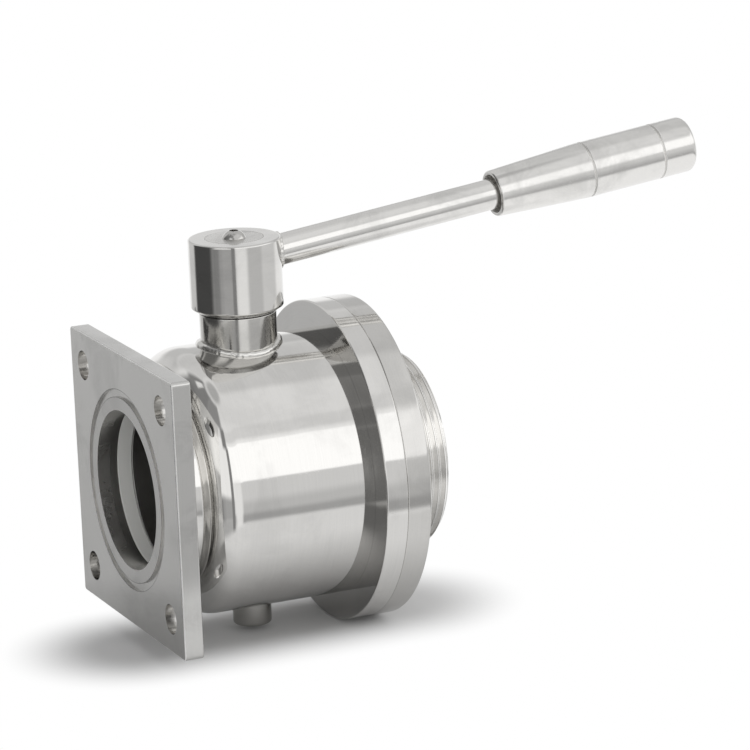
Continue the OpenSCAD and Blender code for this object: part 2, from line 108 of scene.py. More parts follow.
def make_piece(name, points, faces, scale=mm):
    """An object whose closed mesh is in metres, with its place in its vertices."""
    mesh = bpy.data.meshes.new(name)
    mesh.from_pydata([Vector(p) * scale for p in points], [], faces)
    work = bmesh.new()
    work.from_mesh(mesh)
    bmesh.ops.remove_doubles(work, verts=work.verts, dist=1e-7)
    bmesh.ops.recalc_face_normals(work, faces=work.faces)
    work.to_mesh(mesh)
    work.free()
    piece = bpy.data.objects.new(name, mesh)
    bpy.context.scene.collection.objects.link(piece)
    return piece


def turned(name, corners, axis, segments=192, sweep=(0.0, 360.0)):
    """A turned solid from a closed profile of corners (radius, place, rounding) about axis."""
    outline = rounded_outline(corners)
    whole = sweep[1] - sweep[0] >= 360
    rows = segments if whole else segments + 1
    points = []
    for row in range(rows):
        angle = radians(sweep[0] + (sweep[1] - sweep[0]) * row / segments)
        for p in outline:
            radius = max(p.x, 0)
            spot = Vector((radius * cos(angle), radius * sin(angle), p.y))
            points.append(axis @ spot)
    count = len(outline)
    faces = []
    for row in range(segments):
        here = row * count
        ahead = ((row + 1) % rows) * count
        for i in range(count):
            j = (i + 1) % count
            # A corner on the axis stays where it is from row to row
            turning = [ahead + k for k in (j, i) if outline[k].x > 1e-6]
            if turning:
                faces.append((here + i, here + j, *turning))
    if not whole:
        faces.append(tuple(range(count)))
        faces.append(tuple((rows - 1) * count + i for i in range(count)))
    return make_piece(name, points, faces)


def bore(radius, low, high, axis, segments=192):
    """A plain round cutter from low to high along axis."""
    return turned("bore_cutter", [(0, low), (radius, low), (radius, high), (0, high)], axis, segments)


def straight(name, outline, low, high, axis):
    """A straight bar or plate: an outline of points in millimetres, from low to high along axis."""
    count = len(outline)
    points = [axis @ Vector((p[0], p[1], z)) for z in (low, high) for p in outline]
    faces = [tuple(range(count)), tuple(range(count, 2 * count))]
    faces += [(i, (i + 1) % count, count + (i + 1) % count, count + i) for i in range(count)]
    return make_piece(name, points, faces)


def settle(piece):
    """Turns the piece and its modifiers into one plain mesh."""
    graph = bpy.context.evaluated_depsgraph_get()
    mesh = bpy.data.meshes.new_from_object(piece.evaluated_get(graph))
    mesh.name = piece.name
    piece.modifiers.clear()
    piece.data = mesh
    return piece


def drop(piece):
    """Deletes a cutter or another helper shape with its mesh."""
    mesh = piece.data
    bpy.data.objects.remove(piece)
    bpy.data.meshes.remove(mesh)


def cut(piece, *cutters):
    """Machines the cutters' shapes out of the piece."""
    for cutter in cutters:
        tool = piece.modifiers.new("cut", "BOOLEAN")
        tool.operation = "DIFFERENCE"
        tool.solver = "EXACT"
        tool.object = cutter
    bpy.context.view_layer.update()
    settle(piece)
    for cutter in cutters:
        drop(cutter)
    return piece


def crisp(piece, angle=32.0):
    """Smooth shading that breaks at edges sharper than the angle."""
    piece.data.shade_smooth()
    piece.data.set_sharp_from_angle(angle=radians(angle))
    return piece


def break_edges(piece, width, segments=3, angle=40.0):
    """Rounds the piece's sharp edges a little and keeps its flats flat in the light."""
    piece.data.shade_smooth()
    bevel = piece.modifiers.new("edges", "BEVEL")
    bevel.width = width * mm
    bevel.segments = segments
    bevel.limit_method = "ANGLE"
    bevel.angle_limit = radians(angle)
    bevel.use_clamp_overlap = True
    flats = piece.modifiers.new("flats", "WEIGHTED_NORMAL")
    flats.weight = 90
    bpy.context.view_layer.update()
    return settle(piece)


def add_node(tree, kind, inputs=None, **settings):
    """A node's output sockets, with its settings made and each input linked or set."""
    made = tree.nodes.new(kind if "Node" in kind else "ShaderNode" + kind)
    for key, value in settings.items():
        setattr(made, key, value)
    for key, value in (inputs or {}).items():
        if isinstance(value, bpy.types.NodeSocket):
            tree.links.new(value, made.inputs[key])
        else:
            made.inputs[key].default_value = value
    return made.outputs


def maths(tree, operation, *values):
    """The result of a Math node."""
    return add_node(tree, "Math", dict(enumerate(values)), operation=operation)[0]


def xyz(tree, vector):
    """The three numbers of a vector, by their names."""
    return add_node(tree, "SeparateXYZ", {"Vector": vector})


def vector_maths(tree, operation, inputs):
    """The outputs of a Vector Math node."""
    return add_node(tree, "VectorMath", inputs, operation=operation)


def soft_step(tree, value, low, high):
    """A soft step from 0 at low to 1 at high."""
    return add_node(tree, "MapRange", {"Value": value, "From Min": low, "From Max": high},
                    interpolation_type="SMOOTHSTEP")[0]


def noise(tree, place, scale, detail, rough, settings=None, **inputs):
    """The grey value of a noise texture."""
    return add_node(tree, "TexNoise", {
        "Vector": place, "Scale": scale, "Detail": detail, "Roughness": rough, **inputs},
        **(settings or {}))[0]


def new_group(name, inputs, outputs, kind="Shader"):
    """A node group with named sockets, the sockets that it is given and those of its result.
    An input is named with its default value, or with its kind where it has no default."""
    tree = bpy.data.node_groups.new(name, kind + "NodeTree")
    for title, value in inputs.items():
        number = "Int" if isinstance(value, int) else "Float"
        socket = value if isinstance(value, str) else number
        made = tree.interface.new_socket(title, in_out="INPUT", socket_type="NodeSocket" + socket)
        if socket == number:
            made.default_value = value
    for title, socket in outputs.items():
        tree.interface.new_socket(title, in_out="OUTPUT", socket_type="NodeSocket" + socket)
    return tree, tree.nodes.new("NodeGroupInput").outputs, tree.nodes.new("NodeGroupOutput").inputs


# Grain that a belt leaves: long fine lines along the local X axis
tree, given, result = new_group(
    "ground_grain", {"Place": "Vector", "Line Width": 0.0002, "Line Length": 0.012},
    {"Height": "Float"})
part = xyz(tree, given["Place"])
grain_place = {"X": maths(tree, "DIVIDE", part["X"], given["Line Length"])}
for way in "YZ":
    grain_place[way] = maths(tree, "DIVIDE", part[way], given["Line Width"])
spot = add_node(tree, "CombineXYZ", grain_place)
tree.links.new(noise(tree, spot[0], 1, 3, 0.6), result["Height"])
ground_grain = tree

# Fine rings that a turning tool and the polishing belt leave round the local Z axis
tree, given, result = new_group(
    "turning_lines", {"Place": "Vector", "Line Width": 0.0002, "Streaks": 3.0},
    {"Height": "Float"})
part = xyz(tree, given["Place"])
squares = maths(tree, "ADD", maths(tree, "MULTIPLY", part["X"], part["X"]),
                maths(tree, "MULTIPLY", part["Y"], part["Y"]))
radius = maths(tree, "MAXIMUM", maths(tree, "SQRT", squares), 1e-6)
round_x = maths(tree, "DIVIDE", part["X"], radius)
round_y = maths(tree, "DIVIDE", part["Y"], radius)
spot = add_node(tree, "CombineXYZ", {
    "X": maths(tree, "DIVIDE", radius, given["Line Width"]),
    "Y": maths(tree, "DIVIDE", part["Z"], given["Line Width"]),
    "Z": maths(tree, "MULTIPLY", round_x, given["Streaks"])})
rings = noise(tree, spot[0], 1, 2, 0.55, {"noise_dimensions": "4D"},
              W=maths(tree, "MULTIPLY", round_y, given["Streaks"]))
tree.links.new(rings, result["Height"])
turning_lines = tree

# Slow waves that hand buffing leaves, and the smudges and hairline scratches of handling
tree, given, result = new_group(
    "buffing_marks", {"Place": "Vector", "Wave Length": 0.014, "Smudge Size": 0.02,
                      "Scratch Length": 0.009},
    {"Wave": "Float", "Smudge": "Float", "Scratch": "Float"})
per_length = {key: maths(tree, "DIVIDE", 1, given[key])
              for key in ("Wave Length", "Smudge Size", "Scratch Length")}
tree.links.new(noise(tree, given["Place"], per_length["Wave Length"], 1, 0.4), result["Wave"])
smudge = noise(tree, given["Place"], per_length["Smudge Size"], 5, 0.62, Distortion=0.6)
tree.links.new(soft_step(tree, smudge, 0.44, 0.68), result["Smudge"])
scratches = []
for turn, stretch in (((0.4, 1.1, 0.3), 55), ((1.9, 0.5, 1.2), 70)):
    turned_place = add_node(tree, "Mapping", {"Vector": given["Place"], "Rotation": turn})
    stretched = vector_maths(tree, "MULTIPLY", {0: turned_place[0], 1: (1, stretch, stretch)})
    lines = noise(tree, stretched[0], per_length["Scratch Length"], 1, 0.5)
    scratches += add_node(tree, "MapRange", {"Value": lines, "From Min": 0.71, "From Max": 0.78})[:1]
tree.links.new(maths(tree, "MAXIMUM", *scratches), result["Scratch"])
buffing_marks = tree

# A zone of a turned piece, between two places along its own axis and two radii
tree, given, result = new_group(
    "turned_zone", {"Place": "Vector", "Low": 0.0, "High": 0.1, "Inner": 0.0, "Outer": 0.05,
                    "Blur": 0.0001}, {"Mask": "Float"})
part = xyz(tree, given["Place"])
level = add_node(tree, "CombineXYZ", {"X": part["X"], "Y": part["Y"]})
radius = vector_maths(tree, "LENGTH", {0: level[0]})["Value"]
inside = 1
for value, limit, sign in ((part["Z"], "Low", 1), (part["Z"], "High", -1),
                           (radius, "Inner", 1), (radius, "Outer", -1)):
    beyond = maths(tree, "MULTIPLY", maths(tree, "SUBTRACT", value, given[limit]), sign)
    step = soft_step(tree, maths(tree, "DIVIDE", beyond, given["Blur"]), -1, 1)
    inside = maths(tree, "MULTIPLY", inside, step)
tree.links.new(inside, result["Mask"])
turned_zone = tree


def local_place(tree, axis):
    """Object coordinates turned so that the piece's own axis is Z. Axis is in millimetres."""
    back = axis.inverted()
    return add_node(tree, "Mapping", {
        "Vector": add_node(tree, "TexCoord")["Object"],
        "Location": back.to_translation() * mm,
        "Rotation": back.to_euler()})[0]


def mix_colour(tree, share, first, second):
    """Two colours mixed by a share from 0 to 1."""
    return add_node(tree, "Mix", {0: share, 6: first, 7: second}, data_type="RGBA")[2]


def blank_material(name):
    """A material with its Principled shader."""
    material = bpy.data.materials.new(name)
    material.use_nodes = True
    return material, material.node_tree, material.node_tree.nodes["Principled BSDF"]


def bump(tree, height, depth, strength=1.0, invert=False, **inputs):
    """The normal of a surface that rises with height, by a depth in millimetres."""
    return add_node(tree, "Bump", {"Height": height, "Strength": strength, "Distance": depth * mm,
                                   **inputs}, invert=invert)[0]


def steel(name, axis, colour, roughness, lines, waves, marks=1.0, grain=None):
    """Bare stainless steel. lines is (width, depth) of the turning lines, or of a belt's grain
    where grain gives its length, and waves is (length, depth) of the buffing waves, all in
    millimetres. marks scales the handling marks."""
    material, tree, shader = blank_material(name)
    place = local_place(tree, axis)
    buffed = add_node(tree, "Group", {"Place": place, "Wave Length": waves[0] * mm},
                      node_tree=buffing_marks)
    fine_sizes = {"Place": place, "Line Width": lines[0] * mm}
    if grain is not None:
        fine_sizes["Line Length"] = grain * mm
    fine = add_node(tree, "Group", fine_sizes, node_tree=ground_grain if grain else turning_lines)[0]
    smudge = maths(tree, "MULTIPLY", buffed["Smudge"], marks)
    scratch = maths(tree, "MULTIPLY", buffed["Scratch"], marks)
    shade = tuple(c * 0.86 for c in colour)
    tint = mix_colour(tree, smudge, (*colour, 1), (*shade, 1))
    line_tone = add_node(tree, "MapRange", {
        "Value": fine, "From Min": 0.3, "From Max": 0.7, "To Min": 0.96, "To Max": 1})
    toned = vector_maths(tree, "SCALE", {0: tint, 3: line_tone[0]})
    tree.links.new(toned[0], shader.inputs["Base Color"])
    rough = maths(tree, "MULTIPLY_ADD", smudge, 0.09 * marks, roughness)
    rough = maths(tree, "MULTIPLY_ADD", scratch, 0.12, rough)
    tree.links.new(rough, shader.inputs["Roughness"])
    shader.inputs["Metallic"].default_value = 1
    wave = bump(tree, buffed["Wave"], waves[1])
    ring = bump(tree, fine, lines[1], Normal=wave)
    hair = bump(tree, scratch, 0.004, 0.5, True, Normal=ring)
    tree.links.new(hair, shader.inputs["Normal"])
    return material


def finish_and_painted_light_zone(material, axis, places, radii, shade, roughness, blur=0.12):
    """Scales the colour of a zone of a turned piece by shade and roughens it. Millimetres. Some uses
    stand for a rougher finish, others paint shade into hollows or paint light into them.
    """
    tree = material.node_tree
    shader = tree.nodes["Principled BSDF"]
    limits = zip(("Low", "High", "Inner", "Outer", "Blur"), (*places, *radii, blur))
    zone = add_node(tree, "Group", {
        "Place": local_place(tree, axis), **{key: value * mm for key, value in limits}},
        node_tree=turned_zone)["Mask"]
    colour = shader.inputs["Base Color"].links[0].from_socket
    darker = vector_maths(tree, "SCALE", {0: colour, 3: shade})
    tree.links.new(mix_colour(tree, zone, colour, darker[0]), shader.inputs["Base Color"])
    rough = shader.inputs["Roughness"].links[0].from_socket
    change = maths(tree, "SUBTRACT", maths(tree, "MAXIMUM", rough, roughness), rough)
    tree.links.new(maths(tree, "MULTIPLY_ADD", zone, change, rough), shader.inputs["Roughness"])
    return material


def dress(piece, *materials):
    """Gives a piece its materials, of which the first covers every face."""
    piece.data.materials.clear()
    for material in materials:
        piece.data.materials.append(material)
    for face in piece.data.polygons:
        face.material_index = 0
    return piece


half_w = plate_w / 2
plate_outline = rounded_outline([
    (half_w, half_w, plate_corner_r), (-half_w, half_w, plate_corner_r),
    (-half_w, -half_w, plate_corner_r), (half_w, -half_w, plate_corner_r)])
square_flange = straight("flange_plate", plate_outline, 0, plate_t, flow_axis)
break_edges(square_flange, plate_edge_break, segments=4)
bolt_cutters = []
for y in (-0.5, 0.5):
    for z in (-0.5, 0.5):
        hole_axis = Matrix.Translation((0, y * hole_spacing, z * hole_spacing)) @ flow_axis
        bolt_cutters.append(turned("hole_cutter", [
            (0, -past), (hole_r, -past), (hole_r, plate_t - hole_back_chamfer),
            (hole_r + hole_back_chamfer + past, plate_t + past), (0, plate_t + past)],
            hole_axis, segments=64))
cut(square_flange,
    bore(bore_r, -past, plate_t, flow_axis),
    bore(neck_hole_r, neck_x, plate_t + past, flow_axis),
    turned("groove_cutter", [
        (groove_inner_r, -past), (groove_outer_r, -past), (groove_outer_r, groove_depth),
        (groove_inner_r, groove_depth)], flow_axis),
    *bolt_cutters)
break_edges(square_flange, machined_break)
satin_plate = steel("satin_ground_plate", flow_axis, (0.6, 0.595, 0.58), 0.21,
                    lines=(0.22, 0.0022), waves=(24, 0.09), grain=14, marks=0.8)
# Painted shade: the rims of the gasket groove are drawn as two thin dark rings.
for groove_edge in (groove_inner_r, groove_outer_r):
    finish_and_painted_light_zone(satin_plate, flow_axis, (-0.2, 0.2),
              (groove_edge - 0.18, groove_edge + 0.18), 0.35, 0.3, blur=0.06)
finish_and_painted_light_zone(satin_plate, flow_axis, (-0.2, 0.2), (bore_r, groove_inner_r - 0.1), 0.86, 0.21)
drilled_steel = steel("drilled_steel", flow_axis, (0.66, 0.65, 0.63), 0.11,
                      lines=(0.3, 0.004), waves=(3, 0.05))
bored_steel = steel("bored_steel", flow_axis, (0.76, 0.75, 0.73), 0.26,
                    lines=(0.3, 0.002), waves=(9, 0.08))
# Painted light: the groove's walls are drawn in a lighter steel than the plate, against the shade
# between them.
grooved_steel = steel("grooved_steel", flow_axis, (0.9, 0.89, 0.87), 0.3,
                      lines=(0.2, 0.002), waves=(9, 0.02))
polished_edge = steel("polished_edge", flow_axis, (0.66, 0.655, 0.64), 0.11,
                      lines=(0.3, 0.001), waves=(9, 0.03), grain=9)
buffed_back = steel("buffed_plate_back", flow_axis, (0.83, 0.825, 0.81), 0.1,
                    lines=(0.4, 0.001), waves=(12, 0.06), grain=9)
# Painted highlight: the plate's broken front edge is drawn near white, rough and only partly metallic,
# as a light line along it.
worn_edge = steel("worn_edge", flow_axis, (0.97, 0.965, 0.95), 0.38,
                  lines=(0.3, 0.001), waves=(9, 0.03), marks=0.5)
worn_edge.node_tree.nodes["Principled BSDF"].inputs["Metallic"].default_value = 0.3
dress(square_flange, satin_plate, drilled_steel, polished_edge, buffed_back, bored_steel,
      grooved_steel, worn_edge)
# Widths of the bands round the plate in which its broken front edge and its sides lie
front_band = 1
side_band = 2.6
for face in square_flange.data.polygons:
    middle = face.center / mm
    hole_reach = hypot(abs(middle.y) - hole_spacing / 2, abs(middle.z) - hole_spacing / 2)
    bore_reach = hypot(middle.y, middle.z)
    square_reach = max(abs(middle.y), abs(middle.z))
    if abs(face.normal.x) < 0.5 and hole_reach < hole_r + 0.1:
        face.material_index = 1
    elif abs(face.normal.x) < 0.9 and bore_reach < bore_r + 0.3:
        face.material_index = 4
    elif abs(face.normal.x) < 0.5 and groove_inner_r - 0.1 < bore_reach < groove_outer_r + 0.1:
        face.material_index = 5
    elif -0.95 < face.normal.x < -0.3 and square_reach > half_w - front_band:
        face.material_index = 6
    elif abs(face.normal.x) < 0.9 and square_reach > half_w - side_band:
        face.material_index = 2
    elif face.normal.x > 0.5 and middle.x > plate_t - 1:
        face.material_index = 3
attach(square_flange, "housing")
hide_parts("square_flange")


# Turned shell.
# One piece from the neck to the round flange, turned from a forging and buffed bright. Its
# neck is let into the square flange and welded all round, and its rounded shoulder holds the ball.

neck_r = 30
neck_weld = 1.4
shoulder_x = 12.7
shoulder_r = 9.3
body_r = 40.3
wall = 2.8
cavity_r = 37.5
shell_x = shoulder_x + shoulder_r
body_flange_x = 62.934
joint_x = 69.734
flange_r = 48.8
seat_x = 6.5
pocket_r = 27.55
stem_x = 38.267
ball_r = 36.4
sphere_cut_r = ball_r + 0.9
tower_r = 11.5
trunnion_r = 5.85
fit = 0.02
screw_pitch_r = 43.15
screw_count = 6
tap_depth = 5.3
tap_r = 2.52
# Places inside and outside the shell's wall, between which cutters go through it
wall_reach = (20, 50)

stem_axis = Matrix.Translation((stem_x, 0, 0))
under_axis = stem_axis @ Matrix.Rotation(pi, 4, "X")
arc_start = degrees(asin((stem_x - shoulder_x - wall) / sphere_cut_r))
arc_end = degrees(acos(pocket_r / sphere_cut_r))
shell_profile = [
    (bore_r, neck_x - machined_break), (bore_r + machined_break, neck_x),
    (neck_r, neck_x, 0.3), (neck_r, plate_t + 0.02),
    *arc((neck_r + neck_weld, plate_t + neck_weld), neck_weld, 270, 180, 8),
    (neck_r, shoulder_x, 0.7),
    *arc((body_r - shoulder_r, shell_x), shoulder_r, 270, 360, 30),
    (body_r, body_flange_x),
    (flange_r, body_flange_x, 0.4), (flange_r, joint_x, 0.3), (cavity_r, joint_x, 0.3),
    *arc((body_r - shoulder_r, shell_x), shoulder_r - wall, 0, -90, 12),
    *arc((0, stem_x), sphere_cut_r, -arc_start, -arc_end, 2),
    (pocket_r, seat_x, 0.2), (bore_r, seat_x, 0.2)]
shell = turned("shell", shell_profile, flow_axis, segments=224)
screw_turns = [Matrix.Rotation(radians(360 / screw_count * (i + 0.5)), 4, "X")
               for i in range(screw_count)]
cut(shell,
    bore(tower_r + fit, *wall_reach, stem_axis, 96),
    bore(trunnion_r + fit, *wall_reach, under_axis, 64),
    *[bore(tap_r, -tap_depth, past,
           turn @ Matrix.Translation((joint_x, 0, screw_pitch_r)) @ flow_axis, 24)
      for turn in screw_turns])
crisp(shell)
buffed_shell = steel("buffed_shell", flow_axis, (0.8, 0.79, 0.77), 0.045,
                     lines=(0.25, 0.0002), waves=(15, 0.055), marks=0.6)
# The round flange's face is drawn darker and a little rougher than the barrel. The bore, which the
# buffing wheel doesn't reach, is rougher and a little darker
finish_and_painted_light_zone(buffed_shell, flow_axis, (body_flange_x - 0.05, body_flange_x + 0.5),
          (body_r - 0.1, flange_r - 0.3), 0.66, 0.07)
finish_and_painted_light_zone(buffed_shell, flow_axis, (0, 20), (0, bore_r + 0.15), 0.92, 0.26)
dress(shell, buffed_shell)
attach(shell, "housing")
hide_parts("valve_body")


# Stem tower.
# A turned boss set through the top of the shell and welded round its foot. It carries the
# stem's bearing and seals, and a quarter-turn track in its top face for the stop pin.

tower_z = 49.7
tower_bore_r = 6.55
tower_collar_r = 9.3
step_z = 41.3
bush_z = 46.7
bush_r = 7.55
track_r = 9.525
track_w = 2.2
track_depth = 2.2
stop_bearing = 135
stop_reach = 6.94
bead_r = 1.2
tower_foot_z = 33
# Places along the flow between which the tower's foot is cut to the ball chamber
saddle_reach = (10, 68)


def joint_ring(name, count, spot):
    """A closed line of points in millimetres that a weld follows. spot takes an angle."""
    mesh = bpy.data.meshes.new(name)
    points = [Vector(spot(2 * pi * i / count)) * mm for i in range(count)]
    mesh.from_pydata(points, [(i, (i + 1) % count) for i in range(count)], [])
    piece = bpy.data.objects.new(name, mesh)
    bpy.context.scene.collection.objects.link(piece)
    return piece


# A weld bead along a line: a round bead with the ripples that each dip of the rod leaves
tree, given, result = new_group("weld_bead", {
    "Geometry": "Geometry", "Bead Radius": 0.001, "Ripple Length": 0.0014,
    "Ripple Height": 0.0001, "Unevenness": 0.0002, "Seed": 0.0, "Steel": "Material"},
    {"Geometry": "Geometry"}, "Geometry")
line = add_node(tree, "GeometryNodeMeshToCurve", {"Mesh": given["Geometry"]})
along = add_node(tree, "GeometryNodeSplineParameter")
kept = tree.nodes.new("GeometryNodeCaptureAttribute")
kept.domain = "POINT"
kept.capture_items.new("FLOAT", "Along")
tree.links.new(line["Curve"], kept.inputs["Geometry"])
tree.links.new(along["Length"], kept.inputs["Along"])
section = add_node(tree, "GeometryNodeCurvePrimitiveCircle",
                   {"Resolution": 20, "Radius": given["Bead Radius"]}, mode="RADIUS")
bead = add_node(tree, "GeometryNodeCurveToMesh",
                {"Curve": kept.outputs["Geometry"], "Profile Curve": section["Curve"]})
phase = maths(tree, "DIVIDE", kept.outputs["Along"], given["Ripple Length"])
sine = maths(tree, "SINE", maths(tree, "MULTIPLY", phase, 2 * pi))
ripple = maths(tree, "MULTIPLY", sine, given["Ripple Height"])
spot = add_node(tree, "GeometryNodeInputPosition")
uneven = noise(tree, spot[0], 420, 1, 0.5, {"noise_dimensions": "4D"}, W=given["Seed"])
swing = maths(tree, "MULTIPLY", maths(tree, "SUBTRACT", uneven, 0.5), given["Unevenness"])
outward = add_node(tree, "GeometryNodeInputNormal")
offset = vector_maths(tree, "SCALE", {0: outward[0], 3: maths(tree, "ADD", ripple, swing)})
raised = add_node(tree, "GeometryNodeSetPosition", {"Geometry": bead["Mesh"], "Offset": offset[0]})
smooth = add_node(tree, "GeometryNodeSetShadeSmooth", {"Geometry": raised[0]})


def end_tree(tree, given, result, geometry):
    """Ends a geometry tree with plain geometry in the steel that the tree is given."""
    whole = add_node(tree, "GeometryNodeRealizeInstances", {"Geometry": geometry})
    coated = add_node(tree, "GeometryNodeSetMaterial",
                      {"Geometry": whole[0], "Material": given["Steel"]})
    tree.links.new(coated[0], result["Geometry"])
    return tree


weld_bead = end_tree(tree, given, result, smooth[0])


def grow(piece, tree, **values):
    """Runs a geometry tree on the piece with its named inputs, and keeps the plain mesh."""
    modifier = piece.modifiers.new(tree.name, "NODES")
    modifier.node_group = tree
    for item in tree.interface.items_tree:
        key = item.name.replace(" ", "_").lower()
        if item.in_out == "INPUT" and key in values:
            modifier[item.identifier] = values[key]
    bpy.context.view_layer.update()
    return settle(piece)


tower = turned("tower_boss", [
    (tower_collar_r, tower_foot_z), (tower_r, tower_foot_z), (tower_r, tower_z, 0.25),
    (bush_r, tower_z, 0.2), (bush_r, bush_z), (tower_bore_r, bush_z), (tower_bore_r, step_z),
    (tower_collar_r, step_z)],
    stem_axis, segments=128)
cut(tower,
    bore(cavity_r, *saddle_reach, flow_axis, 128),
    turned("track_cutter", [
        (track_r - track_w / 2, tower_z - track_depth), (track_r + track_w / 2, tower_z - track_depth),
        (track_r + track_w / 2, tower_z + past), (track_r - track_w / 2, tower_z + past)],
        stem_axis, segments=48,
        sweep=(stop_bearing - 90 - stop_reach, stop_bearing + stop_reach)))
crisp(tower)
dress(tower, steel("turned_tower", stem_axis, (0.7, 0.69, 0.665), 0.1,
                   lines=(0.22, 0.0016), waves=(9, 0.02)))
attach(tower, "housing")
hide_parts("stem_tower")

weld_steel = steel("weld_metal", stem_axis, (0.78, 0.77, 0.745), 0.2,
                   lines=(0.4, 0.006), waves=(1.6, 0.05), grain=1.2, marks=0.6)
bead_reach = tower_r + 0.25
tower_weld = joint_ring("tower_weld", 256, lambda t: (
    stem_x + bead_reach * cos(t), bead_reach * sin(t),
    sqrt(body_r ** 2 - (bead_reach * sin(t)) ** 2) + 0.1))
grow(tower_weld, weld_bead, bead_radius=bead_r * mm, ripple_length=1.3 * mm,
     ripple_height=0.02 * mm, unevenness=0.55 * mm, seed=1.0, steel=weld_steel)
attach(tower_weld, "housing")


# Lower pivot.
# A turned pin pushed up through the bottom of the shell and welded in. Its journal carries
# the ball, and its rounded end stands out below the shell.

journal_r = 4
pivot_z = 30
pin_shoulder_z = 37.2
pin_end_z = 47.1
pin_round = 0.8

trunnion_pin = turned("lower_pivot", [
    (0, pivot_z + 0.5), (journal_r, pivot_z + 0.5, 0.3), (journal_r, pin_shoulder_z, 0.2),
    (trunnion_r, pin_shoulder_z, 0.3), (trunnion_r, pin_end_z, pin_round), (0, pin_end_z)],
    under_axis, segments=96)
crisp(trunnion_pin)
dress(trunnion_pin, steel("turned_pin", stem_axis, (0.52, 0.51, 0.49), 0.14,
                          lines=(0.3, 0.0015), waves=(6, 0.03)))
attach(trunnion_pin, "housing")
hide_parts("trunnion_pin")

# Painted shade: the bead round the pin is drawn nearly black, as the shadow in the crevice where the
# pin meets the shell.
stained_weld = steel("stained_weld", stem_axis, (0.17, 0.165, 0.155), 0.35,
                     lines=(0.4, 0.004), waves=(1.6, 0.03), grain=1.2)
pin_weld = joint_ring("pin_weld", 128, lambda t: (
    stem_x + (trunnion_r + 0.1) * cos(t), (trunnion_r + 0.1) * sin(t),
    -sqrt(body_r ** 2 - ((trunnion_r + 0.1) * sin(t)) ** 2)))
grow(pin_weld, weld_bead, bead_radius=0.55 * mm, ripple_length=1 * mm,
     ripple_height=0.04 * mm, unevenness=0.25 * mm, seed=2.0, steel=stained_weld)
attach(pin_weld, "housing")


# Seats.
# Two rings turned from white fluoropolymer, each with a ball-shaped face, and an O-ring
# of black elastomer in a groove of its outside. They lie in pockets before and behind the ball.

seat_r = 27.5
seat_face_r = 36.45
seat_len = 4.4
ring_floor_r = 26.1
ring_groove = (1.3, 3.3)
outlet_seat_x = 70.034


def soft_material(name, colour, roughness, grain_size, grain_depth, shade):
    """A waxy or rubbery material with a fine moulded or turned skin."""
    material, tree, shader = blank_material(name)
    where = add_node(tree, "TexCoord")["Object"]
    cloud = noise(tree, where, 60, 4, 0.5)
    skin = noise(tree, where, 1 / (grain_size * mm), 3, 0.5)
    tint = mix_colour(tree, cloud, (*colour, 1), (*shade, 1))
    tree.links.new(tint, shader.inputs["Base Color"])
    rough = maths(tree, "MULTIPLY_ADD", skin, 0.12, roughness)
    tree.links.new(rough, shader.inputs["Roughness"])
    tree.links.new(bump(tree, skin, grain_depth), shader.inputs["Normal"])
    return material


ptfe = soft_material("seat_fluoropolymer", (0.94, 0.94, 0.91), 0.32, 0.5, 0.004,
                     (0.87, 0.87, 0.84))
rubber = soft_material("seal_elastomer", (0.035, 0.035, 0.035), 0.5, 0.2, 0.006,
                       (0.055, 0.055, 0.052))

face_start = degrees(acos(seat_r / seat_face_r))
face_end = degrees(acos(bore_r / seat_face_r))
seat_centre = seat_len + sqrt(ball_r ** 2 - bore_r ** 2)
seat_face = arc((0, seat_centre), seat_face_r, -face_start, -face_end, 6)
seat_profile = [
    (bore_r, 0, 0.2), (seat_r, 0, 0.2), (seat_r, ring_groove[0]), (ring_floor_r, ring_groove[0]),
    (ring_floor_r, ring_groove[1]), (seat_r, ring_groove[1]),
    *[p for p in seat_face if p[0] < seat_r + 1e-6]]
facing_back = Matrix.Translation((outlet_seat_x, 0, 0)) @ Matrix.Rotation(pi, 4, "Z") @ flow_axis
for name, node_name, seat_axis in (
        ("inlet_seat_ring", "inlet_seat", Matrix.Translation((seat_x, 0, 0)) @ flow_axis),
        ("outlet_seat_ring", "outlet_seat", facing_back)):
    seat = turned(name, seat_profile, seat_axis, segments=160)
    crisp(seat)
    dress(seat, ptfe)
    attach(seat, "housing")
    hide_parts(node_name)
for node_name in ("inlet_seat_o_ring", "outlet_seat_o_ring"):
    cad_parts[node_name].data.shade_smooth()
    dress(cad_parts[node_name], rubber)


# Ball.
# A solid stainless ball, ground and lapped, with the waterway through it, a slot across its
# top for the stem's tang, and a pivot hole below with a bearing sleeve on the lower journal.

ball_half = sqrt(ball_r ** 2 - bore_r ** 2)
slot_w = 9
slot_z = 29.5
pivot_hole_r = 5.57
clear_of_ball = 40

ball_axis = stem_axis @ flow_axis
ball_arc = degrees(asin(ball_half / ball_r))
ball = turned("waterway_ball", [
    *arc((0, 0), ball_r, -ball_arc, ball_arc, 60)[1:-1],
    (bore_r, ball_half, 0.35), (bore_r, -ball_half, 0.35)], ball_axis, segments=192)
slot_outline = [(-slot_w / 2, -clear_of_ball), (slot_w / 2, -clear_of_ball),
                (slot_w / 2, clear_of_ball), (-slot_w / 2, clear_of_ball)]
cut(ball,
    straight("slot_cutter", slot_outline, slot_z, clear_of_ball, stem_axis),
    bore(pivot_hole_r, pivot_z, clear_of_ball, under_axis, 64))
crisp(ball, 35)
lapped = steel("lapped_ball", ball_axis, (0.8, 0.79, 0.77), 0.07,
               lines=(0.12, 0.0008), waves=(30, 0.01), marks=0.7)
# The waterway through the ball is rougher, and drawn at half the colour as painted shade inside the
# bore.
finish_and_painted_light_zone(lapped, ball_axis, (-clear_of_ball, clear_of_ball), (0, bore_r + 0.1), 0.5, 0.28)
dress(ball, lapped)
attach(ball, "ball_unit")
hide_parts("ball")
dress(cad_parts["trunnion_bush"], ptfe)


